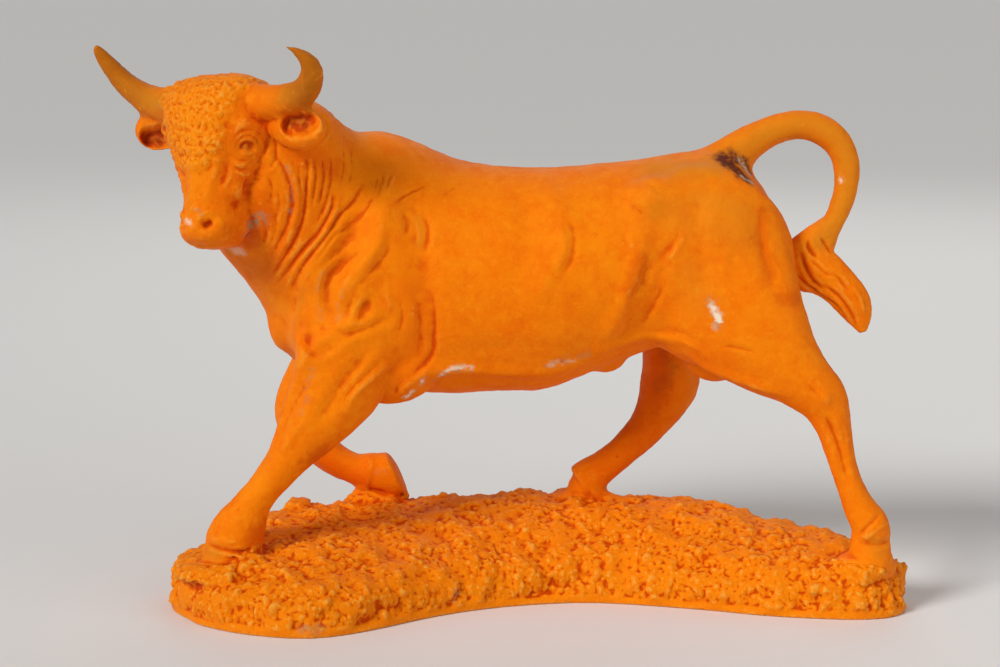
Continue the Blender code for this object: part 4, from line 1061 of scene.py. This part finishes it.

# Paint by kind, some of it painted shade and highlight: strength, breadth, path in the picture.
TOUCHES = {
    # Real stain at the tail's root; painted shade in the slit of the eye, the depths of the ears and a nostril,
    # and on the inner thigh
    "stain_and_shade": [
        (1.2, 0.62, [(723, 158), (730, 165), (738, 171), (745, 178)]),
        (1.0, 0.45, [(732, 156), (741, 162), (748, 170)]),
        (0.45, 0.2, [(242, 147), (249, 147)]),
        (0.4, 0.5, [(292, 122), (300, 122), (306, 124)]),
        (0.5, 0.6, [(150, 138), (160, 138)]),
        (0.2, 0.16, [(206, 225), (211, 223)]),
        (0.25, 0.6, [(664, 354), (670, 370), (660, 386)]),
    ],
    # Bare casting: in the stain, on the tail, haunch, chin, nose and along the belly
    "pale": [
        (0.5, 0.14, [(739, 160), (745, 167), (749, 174)]),
        (0.55, 0.12, [(741, 176), (747, 180), (752, 182)]),
        (1.0, 0.13, [(840, 180)]),
        (1.3, 0.2, [(712, 305), (716, 311), (719, 321)]),
        (0.5, 0.34, [(235, 251), (242, 252)]),
        (0.7, 0.14, [(186, 220), (190, 223)]),
        (0.5, 0.14, [(179, 217)]),
        (0.9, 0.11, [(406, 398), (413, 391), (419, 385), (425, 380)]),
        (0.8, 0.12, [(436, 378), (443, 374), (450, 370), (460, 368), (470, 368)]),
        (0.4, 0.12, [(548, 365), (560, 362), (574, 360)]),
    ],
    # Grime: round the chips, on the jaw, folds, belly and ground
    "grey": [
        (0.9, 0.3, [(711, 303), (715, 311), (719, 324)]),
        (1.0, 0.42, [(246, 232), (253, 224), (260, 217)]),
        (0.4, 0.2, [(196, 210), (201, 214)]),
        (0.5, 0.22, [(408, 398), (418, 387), (426, 381)]),
        (0.6, 0.26, [(436, 379), (450, 371), (470, 369)]),
        (0.5, 0.24, [(546, 366), (558, 362), (572, 360), (588, 354)]),
        (0.4, 0.16, [(314, 370), (309, 380), (306, 388)]),
        (0.4, 0.14, [(308, 396), (304, 406), (301, 416)]),
        (0.25, 0.16, [(343, 290), (339, 304), (339, 320)]),
        (0.25, 0.16, [(324, 272), (318, 286), (319, 306), (322, 320)]),
        (0.5, 0.12, [(287, 166), (291, 180), (292, 196), (290, 212)]),
        (0.6, 0.26, [(300, 630), (312, 630), (324, 629)]),
        (0.9, 0.16, [(457, 590), (455, 596), (454, 601)]),
        (0.5, 0.16, [(378, 472), (384, 471)]),
    ],
    # Duller paint on the tail, the horns, a hind hoof and over the top of the rump; painted highlight along
    # ridges of the shoulder and breast and on the near fore hoof's toe
    "tan_and_highlight": [
        (0.5, 0.3, [(417, 220), (420, 230), (419, 244)]),
        (0.4, 0.3, [(303, 290), (299, 308), (297, 328)]),
        (0.7, 0.5, [(208, 552), (216, 554)]),
        (0.5, 0.6, [(872, 540), (880, 552)]),
        (0.4, 1.6, [(660, 210), (700, 220), (740, 230)]),
        (0.3, 1.4, [(690, 270), (700, 300)]),
        (0.7, 1.6, [(660, 168), (700, 166), (740, 158)]),
        (0.8, 1.0, [(740, 150), (770, 132), (810, 124), (838, 140), (848, 176), (838, 214), (822, 238)]),
        (0.5, 1.3, [(700, 200), (740, 210)]),
        (1.0, 0.9, [(104, 52), (118, 76), (136, 94), (156, 104)]),
        (0.9, 0.9, [(288, 94), (304, 88), (314, 78), (312, 62), (296, 50)]),
    ],
    # Redder paint on the cheek and neck; painted shade on the lifted foreleg, on the shoulder, in the hollow
    # between breast and arm, in the ears and on the inner side of the far hind leg
    "wash_and_shade": [
        (0.9, 1.0, [(322, 462), (342, 474), (362, 480)]),
        (0.45, 0.6, [(237, 150), (229, 168), (223, 188), (220, 204)]),
        (0.5, 1.1, [(246, 168), (246, 190), (238, 212)]),
        (0.7, 0.8, [(236, 140), (250, 128), (262, 126)]),
        (0.7, 0.9, [(262, 196), (262, 220), (246, 238)]),
        (0.75, 0.8, [(300, 156), (316, 160), (334, 170)]),
        (0.6, 1.0, [(296, 190), (300, 220), (286, 250), (268, 272)]),
        (0.5, 1.0, [(322, 192), (324, 220), (304, 250)]),
        (0.5, 1.2, [(408, 290), (420, 320), (420, 350), (400, 384)]),
        (0.5, 0.9, [(300, 330), (312, 352)]),
        (0.55, 0.6, [(298, 122), (306, 124)]),
        (0.9, 0.6, [(148, 138), (162, 136)]),
        (0.5, 1.4, [(655, 370), (650, 400), (630, 440), (600, 466)]),
        (0.5, 1.2, [(704, 366), (722, 368)]),
    ],
    # Brighter, yellower paint, partly a painted highlight where the face, upper arm, flank, breast and thigh
    # turn to the light
    "yellow_and_sheen": [
        (0.6, 1.0, [(190, 108), (186, 130), (192, 156), (192, 186), (188, 204)]),
        (0.5, 1.4, [(250, 480), (268, 440), (300, 410)]),
        (0.4, 1.6, [(590, 200), (600, 232), (596, 260)]),
        (0.5, 1.0, [(280, 300), (290, 340), (298, 360)]),
        (0.45, 1.5, [(740, 340), (770, 350), (800, 360)]),
    ],
    # Painted shade in deep red: under the jaw, on the lifted foreleg, in the recess behind the heel, in the
    # creases of the buttock and a flank fold, under the tail, in the groin and a nostril
    "red_shade": [
        (0.4, 0.5, [(330, 476), (350, 488)]),
        (0.5, 0.5, [(270, 214), (262, 232), (250, 244)]),
        (0.5, 0.6, [(228, 232), (242, 240)]),
        (0.8, 1.1, [(318, 458), (340, 472), (360, 482)]),
        (0.7, 0.9, [(256, 536), (266, 534)]),
        (0.6, 0.5, [(762, 212), (762, 240), (770, 274)]),
        (0.6, 0.6, [(784, 300), (796, 300)]),
        (0.5, 0.8, [(660, 356), (658, 376), (656, 398)]),
        (0.6, 0.6, [(642, 260), (630, 290)]),
        (0.6, 0.4, [(204, 226)]),
    ],
}

# Kinds with a soft edge, and how ragged the edge of each kind is.
SOFT = ("tan_and_highlight", "wash_and_shade", "yellow_and_sheen")
RAGGED = {"stain_and_shade": 0.4, "pale": 0.5, "grey": 0.5, "red_shade": 0.5, "tan_and_highlight": 0.25, "wash_and_shade": 0.25, "yellow_and_sheen": 0.25}

def touched(mesh, points):
    """How far each vertex takes each kind of paint that's drawn."""
    tree = tree_of(mesh, points)
    found = {}
    for kind, touches in TOUCHES.items():
        rough, fall = RAGGED[kind], 2 if kind in SOFT else 4
        found[kind] = np.zeros(len(points))
        for strength, breadth, drawn in touches:
            path = traced(tree, drawn)
            if not path:
                continue
            close = nearby(points, path, 3 * breadth)
            gap, _ = distance_to(points[close], path)
            gap *= 1 + rough * waves(points[close], 0.5, 41) + 0.7 * rough * waves(points[close], 0.2, 42)
            spread = strength * np.exp(-((gap / breadth) ** fall))
            found[kind][close] = np.maximum(found[kind][close], spread)
    return found

# Masks in each colour layer of the skin. Those with a sign are stored about 0.5.
LAYERS = {
    "relief": ("hollow", "dip", "loose"),
    "wear_and_painted_light": ("stain_and_shade", "pale", "grey"),
    "wash_and_shade": ("red_shade", "wash_and_shade", "tan_and_highlight"),
    "tint": ("yellow_and_sheen", "pad", "horn"),
}
SIGNED = ("hollow", "dip")

# Regions for thinning: the ground's depth over the mound, and the head's direction and how far along it starts.
GROUND_DEPTH = 0.4
HEADWARD = (-0.9, 0, 0.45)
HEAD_FROM = 18.5

# The hide fades out towards the underside, and vertices within so many metres of the floor are set on it.
HIDE_FROM = (-2.4, -2.0)
FLOOR_WITHIN = 0.0003

def thinned(obj, name, chosen, budget):
    """Thins the chosen part of a mesh to about this many triangles and leaves the rest."""
    mesh = obj.data
    mesh.calc_loop_triangles()
    corners = np.empty(len(mesh.loop_triangles) * 3, np.int32)
    mesh.loop_triangles.foreach_get("vertices", corners)
    inside = int(chosen[corners.reshape(-1, 3)].all(axis=1).sum())
    total = len(mesh.loop_triangles)
    if inside <= budget:
        return
    group = obj.vertex_groups.new(name=name)
    group.add(np.flatnonzero(chosen).tolist(), 1.0, "REPLACE")
    thin = obj.modifiers.new(name, "DECIMATE")
    thin.ratio = (total - inside + budget) / total
    thin.vertex_group = name
    obj.data = applied(obj)
    obj.modifiers.clear()
    obj.vertex_groups.clear()

def figure_of(mesh):
    """A mesh's vertices in the figure's centimetres."""
    return vertices_of(mesh) / CM + np.array((*FIGURE_CENTRE_CM, -BASE_DATUM_CM))

def textured(mesh, points):
    """The points with curls, hide and crumbs, and where the pad and the loose ground are."""
    normals = normals_of(mesh, points)
    loose = looseness(points)
    lip = from_below(points[:, 2], CRUMBS_FROM)
    pad, locks = curls(points, normals)
    lift = locks + (1 - loose) * (1 - pad) * hide(points) * ramp(points[:, 2], *HIDE_FROM)
    on = np.flatnonzero(loose * lip > 0.01)
    lift[on] += loose[on] * lip[on] * crumbs(points[on], normals[on])
    return points + lift[:, None] * normals, pad, loose

def masks_of(mesh, points, cell, pad, loose):
    """Where the colour changes: touches, hollows at two scales for painted shade and highlights, the horns, the
    pad and the loose ground.
    """
    normals = normals_of(mesh, points)
    found = touched(mesh, points)
    for name, radius, depth in (("hollow", 0.22, 0.03 + 0.02 * loose), ("dip", 0.6, 0.09)):
        sunk = np.sum((relax(mesh, points, radius, cell) - points) * normals, axis=1)
        found[name] = np.clip(sunk / depth, -1, 1)
    return found | {"horn": horned(points), "loose": loose, "pad": pad}

def slimmed(bull):
    """Thins each region of the skin to its own number of triangles."""
    for name, budget in FACETS.items():
        spots = figure_of(bull.data)
        low = spots[:, 2] < ground_height(spots[:, 0], spots[:, 1]) + GROUND_DEPTH
        fore = spots @ np.array(HEADWARD) > HEAD_FROM
        region = {"ground": low, "head": fore & ~low, "body": ~low & ~fore}[name]
        thinned(bull, name, region, budget)

def masked(bull, places, masks):
    """Gives the thinned skin the masks of the full one, as colours of its vertices."""
    tree = KDTree(len(places))
    for i, spot in enumerate(places):
        tree.insert(spot, i)
    tree.balance()
    kept = vertices_of(bull.data)
    kept[kept[:, 2] < FLOOR_WITHIN, 2] = 0
    bull.data.vertices.foreach_set("co", kept.ravel())
    source = np.array([tree.find(spot)[1] for spot in kept])
    for name, kinds in LAYERS.items():
        layer = bull.data.attributes.new(name, "FLOAT_COLOR", "POINT")
        values = np.ones((len(kept), 4))
        for k, kind in enumerate(kinds):
            spread = masks[kind][source]
            values[:, k] = spread * 0.5 + 0.5 if kind in SIGNED else spread
        layer.data.foreach_set("color", values.ravel())

def sculpt():
    """The bull with its fine surface, in metres, and the masks for its paint."""
    cell = CELL / CM
    mesh = merged(cell)
    points = vertices_of(mesh)
    points = relax(mesh, points, BLEND / CM, cell, fleshy(points))
    points = relax(mesh, points, EDGE_BLEND / CM, cell)
    points = carve(mesh, points)
    points = scored(mesh, points)
    points = roughen(mesh, points, LUMP_SPACING / CM, LUMP_RELIEF / CM)
    points, pad, loose = textured(mesh, points)
    masks = masks_of(mesh, points, cell, pad, loose)
    places = (points - (*FIGURE_CENTRE_CM, -BASE_DATUM_CM)) * CM
    mesh.vertices.foreach_set("co", places.ravel())
    mesh.name = "bull_skin"
    bull = linked("bull_skin", mesh)
    slimmed(bull)
    masked(bull, places, masks)
    bull.data.shade_smooth()
    return bull

class Weave:
    """Short calls that lay out a material's nodes."""

    def __init__(self, name):
        self.material = bpy.data.materials.new(name)
        self.material.use_nodes = True
        self.tree = self.material.node_tree
        self.shader = self.tree.nodes["Principled BSDF"]
        self.place = self.node("ShaderNodeTexCoord").outputs["Object"]

    def node(self, kind):
        return self.tree.nodes.new(kind)

    def put(self, socket, value):
        if hasattr(value, "links"):
            self.tree.links.new(value, socket)
        else:
            socket.default_value = value

    def noise(self, scale, detail, roughness):
        found = self.node("ShaderNodeTexNoise")
        found.inputs["Scale"].default_value = scale
        found.inputs["Detail"].default_value = detail
        found.inputs["Roughness"].default_value = roughness
        self.put(found.inputs["Vector"], self.place)
        return found.outputs["Fac"]

    def math(self, operation, a, b=0.0, clamp=False):
        found = self.node("ShaderNodeMath")
        found.operation = operation
        found.use_clamp = clamp
        self.put(found.inputs[0], a)
        self.put(found.inputs[1], b)
        return found.outputs[0]

    def span(self, value, low, high, to_low=0.0, to_high=1.0):
        found = self.node("ShaderNodeMapRange")
        found.interpolation_type = "SMOOTHSTEP"
        self.put(found.inputs["Value"], value)
        found.inputs["From Min"].default_value = low
        found.inputs["From Max"].default_value = high
        found.inputs["To Min"].default_value = to_low
        found.inputs["To Max"].default_value = to_high
        return found.outputs["Result"]

    def mix(self, share, a, b):
        found = self.node("ShaderNodeMix")
        found.data_type = "RGBA"
        self.put(found.inputs[0], share)
        self.put(found.inputs[6], a)
        self.put(found.inputs[7], b)
        return found.outputs[2]

    def layer(self, name):
        found = self.node("ShaderNodeAttribute")
        found.attribute_name = name
        parts = self.node("ShaderNodeSeparateColor")
        self.put(parts.inputs[0], found.outputs["Color"])
        return parts.outputs[0], parts.outputs[1], parts.outputs[2]

    def painted(self, colour, shares):
        """The colour with others of the paint over it, each by its own share."""
        for name, share in shares.items():
            colour = self.mix(share, colour, PAINT[name])
        return colour

    def times(self, a, b):
        return self.math("MULTIPLY", a, b)

    def plus(self, a, b):
        return self.math("ADD", a, b)

    def swing(self, value, by):
        """A noise about its middle, by this much."""
        return self.times(self.math("SUBTRACT", value, 0.5), by)

# Colours of the paint, linear. Some stand for light and shade: the deep red of hollows is painted shade, the
# redder wash and the near-black are partly painted shade, the bright crumb colour is a painted highlight, and
# the light colour of ridges, the tan and the yellow are partly painted highlight.
PAINT = {
    "orange": (0.82, 0.168, 0.0015, 1),
    "light orange": (0.86, 0.2, 0.002, 1),
    "yellow_and_sheen": (0.9, 0.262, 0.003, 1),
    "mottle": (0.79, 0.125, 0.0012, 1),
    "light patch": (0.88, 0.25, 0.004, 1),
    "deep patch": (0.76, 0.115, 0.001, 1),
    "speckle": (0.9, 0.25, 0.006, 1),
    "daub": (0.9, 0.25, 0.003, 1),
    "tan_and_highlight": (0.57, 0.195, 0.010, 1),
    "horn": (0.42, 0.11, 0.006, 1),
    "wash_and_shade": (0.73, 0.10, 0.001, 1),
    "deep": (0.58, 0.055, 0.001, 1),
    "rubbed_and_highlit": (0.88, 0.34, 0.03, 1),
    "crumb_highlight": (0.86, 0.40, 0.06, 1),
    "grey": (0.34, 0.21, 0.11, 1),
    "stain_and_shade": (0.10, 0.018, 0.012, 1),
    "pale": (0.80, 0.66, 0.5, 1),
}

def coats(w, masks, mottle, speckle):
    """The orange with its clouds and patches, and the softly drawn coats over it, in which the redder wash is
    partly painted shade and the tan and yellow are partly painted highlight.
    """
    _, _, loose = masks["relief"]
    _, wash_and_shade, tan_and_highlight = masks["wash_and_shade"]
    yellow_and_sheen, pad, horn = masks["tint"]
    patch = w.noise(170, 4, 0.65)
    shares = {
        "light orange": w.span(w.noise(14, 4, 0.6), 0.35, 0.65),
        "yellow_and_sheen": w.times(yellow_and_sheen, 0.8),
        "mottle": w.span(mottle, 0.42, 0.7, 0, 0.5),
        "light patch": w.span(patch, 0.5, 0.68, 0, 0.45),
        "deep patch": w.span(patch, 0.45, 0.3, 0, 0.4),
        "speckle": w.span(speckle, 0.52, 0.72, 0, 0.35),
        "daub": w.span(w.math("MAXIMUM", loose, pad), 0.3, 0.9, 0, 0.5),
        "tan_and_highlight": w.times(tan_and_highlight, 0.9),
        "horn": w.times(horn, w.span(mottle, 0.3, 0.7, 0.9, 0.55)),
        "wash_and_shade": w.times(wash_and_shade, 0.9),
    }
    return w.painted(PAINT["orange"], shares)

def wear_and_painted_light(w, colour, masks, rough, mottle, speckle):
    """Over the coats: painted shade in hollows, ridges lighter from wear and a painted highlight, painted
    highlights on crumb tops, grime, the stain with painted shade in recesses, and the chips.
    """
    hollow, dip, loose = masks["relief"]
    stain_and_shade, pale, grey = masks["wear_and_painted_light"]
    red_shade, wash_and_shade, _ = masks["wash_and_shade"]
    # Painted shade: a deeper red in the skin's small hollows and broad dips and between the crumbs of the
    # ground, stronger under the redder wash, joined by the deep red touches
    deep = w.span(w.plus(hollow, w.swing(mottle, 0.3)), 0.55, 0.95)
    deep = w.times(deep, w.plus(w.span(loose, 0, 1, 0.45, 0.8), w.times(wash_and_shade, 0.5)))
    deep = w.math("ADD", deep, w.span(dip, 0.55, 1.0, 0, 0.35), clamp=True)
    # Ridges lighter, partly worn paint and partly a painted highlight
    ridge = w.span(w.plus(hollow, w.swing(speckle, -0.5)), 0.34, 0.08)
    # Painted highlight: bright tops of the crumbs on the ground and on the pad of curls
    crumb_highlight = w.times(w.span(hollow, 0.38, 0.14), rough)
    flecks = w.noise(260, 3, 0.7)
    shares = {
        "deep": w.math("MAXIMUM", deep, w.times(red_shade, 0.8)),
        "rubbed_and_highlit": w.times(ridge, w.span(mottle, 0.4, 0.65, 0, 0.5)),
        "crumb_highlight": w.times(crumb_highlight, w.span(speckle, 0.42, 0.62, 0.1, 0.7)),
        "grey": w.times(grey, w.span(flecks, 0.38, 0.6)),
        "stain_and_shade": w.times(stain_and_shade, w.span(flecks, 0.34, 0.55, 0.6, 1)),
        "pale": w.times(pale, w.span(flecks, 0.34, 0.5)),
    }
    return w.painted(colour, shares)

def worn_paint_with_painted_light():
    """Matt orange paint with painted shade and highlights. The skin's colour layers say where it is worn and
    stained, and where shade and highlights are painted.
    """
    w = Weave("worn_orange_paint_with_painted_light")
    masks = {name: w.layer(name) for name in LAYERS}
    mottle = w.noise(70, 4, 0.6)
    speckle = w.noise(420, 3, 0.7)
    loose, pad = masks["relief"][2], masks["tint"][1]
    rough = w.math("MAXIMUM", w.span(loose, 0.2, 0.8), w.times(pad, 0.45))
    colour = wear_and_painted_light(w, coats(w, masks, mottle, speckle), masks, rough, mottle, speckle)
    w.put(w.shader.inputs["Base Color"], colour)
    w.put(w.shader.inputs["Roughness"], w.span(mottle, 0.3, 0.7, 0.52, 0.68))
    w.shader.inputs["Specular IOR Level"].default_value = 0.3
    w.shader.inputs["Specular Tint"].default_value = (1.0, 0.5, 0.06, 1)
    w.shader.inputs["Metallic"].default_value = 0.0
    grain = w.plus(w.times(w.noise(520, 4, 0.65), 0.6), w.times(w.noise(1500, 2, 0.6), 0.3))
    pits = w.times(w.noise(260, 5, 0.75), w.span(rough, 0.2, 0.8, 0.4, 3.0))
    pits = w.plus(pits, w.times(w.noise(700, 3, 0.7), w.span(rough, 0.2, 0.8, 0.2, 1.5)))
    bump = w.node("ShaderNodeBump")
    bump.inputs["Strength"].default_value = 0.6
    bump.inputs["Distance"].default_value = 0.0006
    w.put(bump.inputs["Height"], w.plus(grain, pits))
    w.put(w.shader.inputs["Normal"], bump.outputs[0])
    return w.material

def floor_material():
    w = Weave("studio_floor")
    w.put(w.shader.inputs["Base Color"], (0.76, 0.75, 0.73, 1))
    w.shader.inputs["Roughness"].default_value = 0.75
    return w.material

# Lamps stand this far from a place over the ground's middle.
LAMP_AIM = (0, 0, 0.18)
LAMP_RANGE = 2.2

def light(kind, name, direction, energy):
    """A light that shines on the figure from a direction."""
    data = bpy.data.lights.new(name, kind)
    data.energy = energy
    found = linked(name, data)
    toward = Vector(direction).normalized()
    found.location = Vector(LAMP_AIM) + toward * LAMP_RANGE
    found.rotation_mode = "QUATERNION"
    found.rotation_quaternion = toward.to_track_quat("Z", "Y")
    return data

def camera_of_picture():
    """The camera that saw the picture."""
    data = bpy.data.cameras.new("camera")
    data.lens = LENS
    data.sensor_width = SENSOR
    camera = linked("camera", data)
    camera.location = (EYE - Vector((*FIGURE_CENTRE_CM, -BASE_DATUM_CM))) * CM
    camera.rotation_euler = (math.pi / 2 - CAMERA_TILT, 0, 0)
    return camera

def studio():
    """A pale floor, a broad key light from the front left, soft light from right and behind, and the camera."""
    bpy.ops.mesh.primitive_plane_add(size=80)
    floor = bpy.context.active_object
    floor.name = "floor"
    floor.data.materials.append(floor_material())
    light("SUN", "key", (-1.1, -1.0, 1.0), 2.42).angle = math.radians(20)
    light("AREA", "fill", (1.2, -1.1, 0.6), 16).size = 2.0
    light("AREA", "back", (0.3, 1.4, 1.2), 9).size = 2.0
    world = bpy.data.worlds.new("studio")
    world.use_nodes = True
    colour, strength = world.node_tree.nodes["Background"].inputs[:2]
    colour.default_value = (1.0, 0.98, 0.96, 1)
    strength.default_value = 0.22
    bpy.context.scene.world = world
    bpy.context.scene.view_settings.view_transform = "Standard"
    bpy.context.scene.camera = camera_of_picture()

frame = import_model()
bull = sculpt()
bull.data.materials.clear()
bull.data.materials.append(worn_paint_with_painted_light())
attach(bull, "root")
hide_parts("bull")
studio()
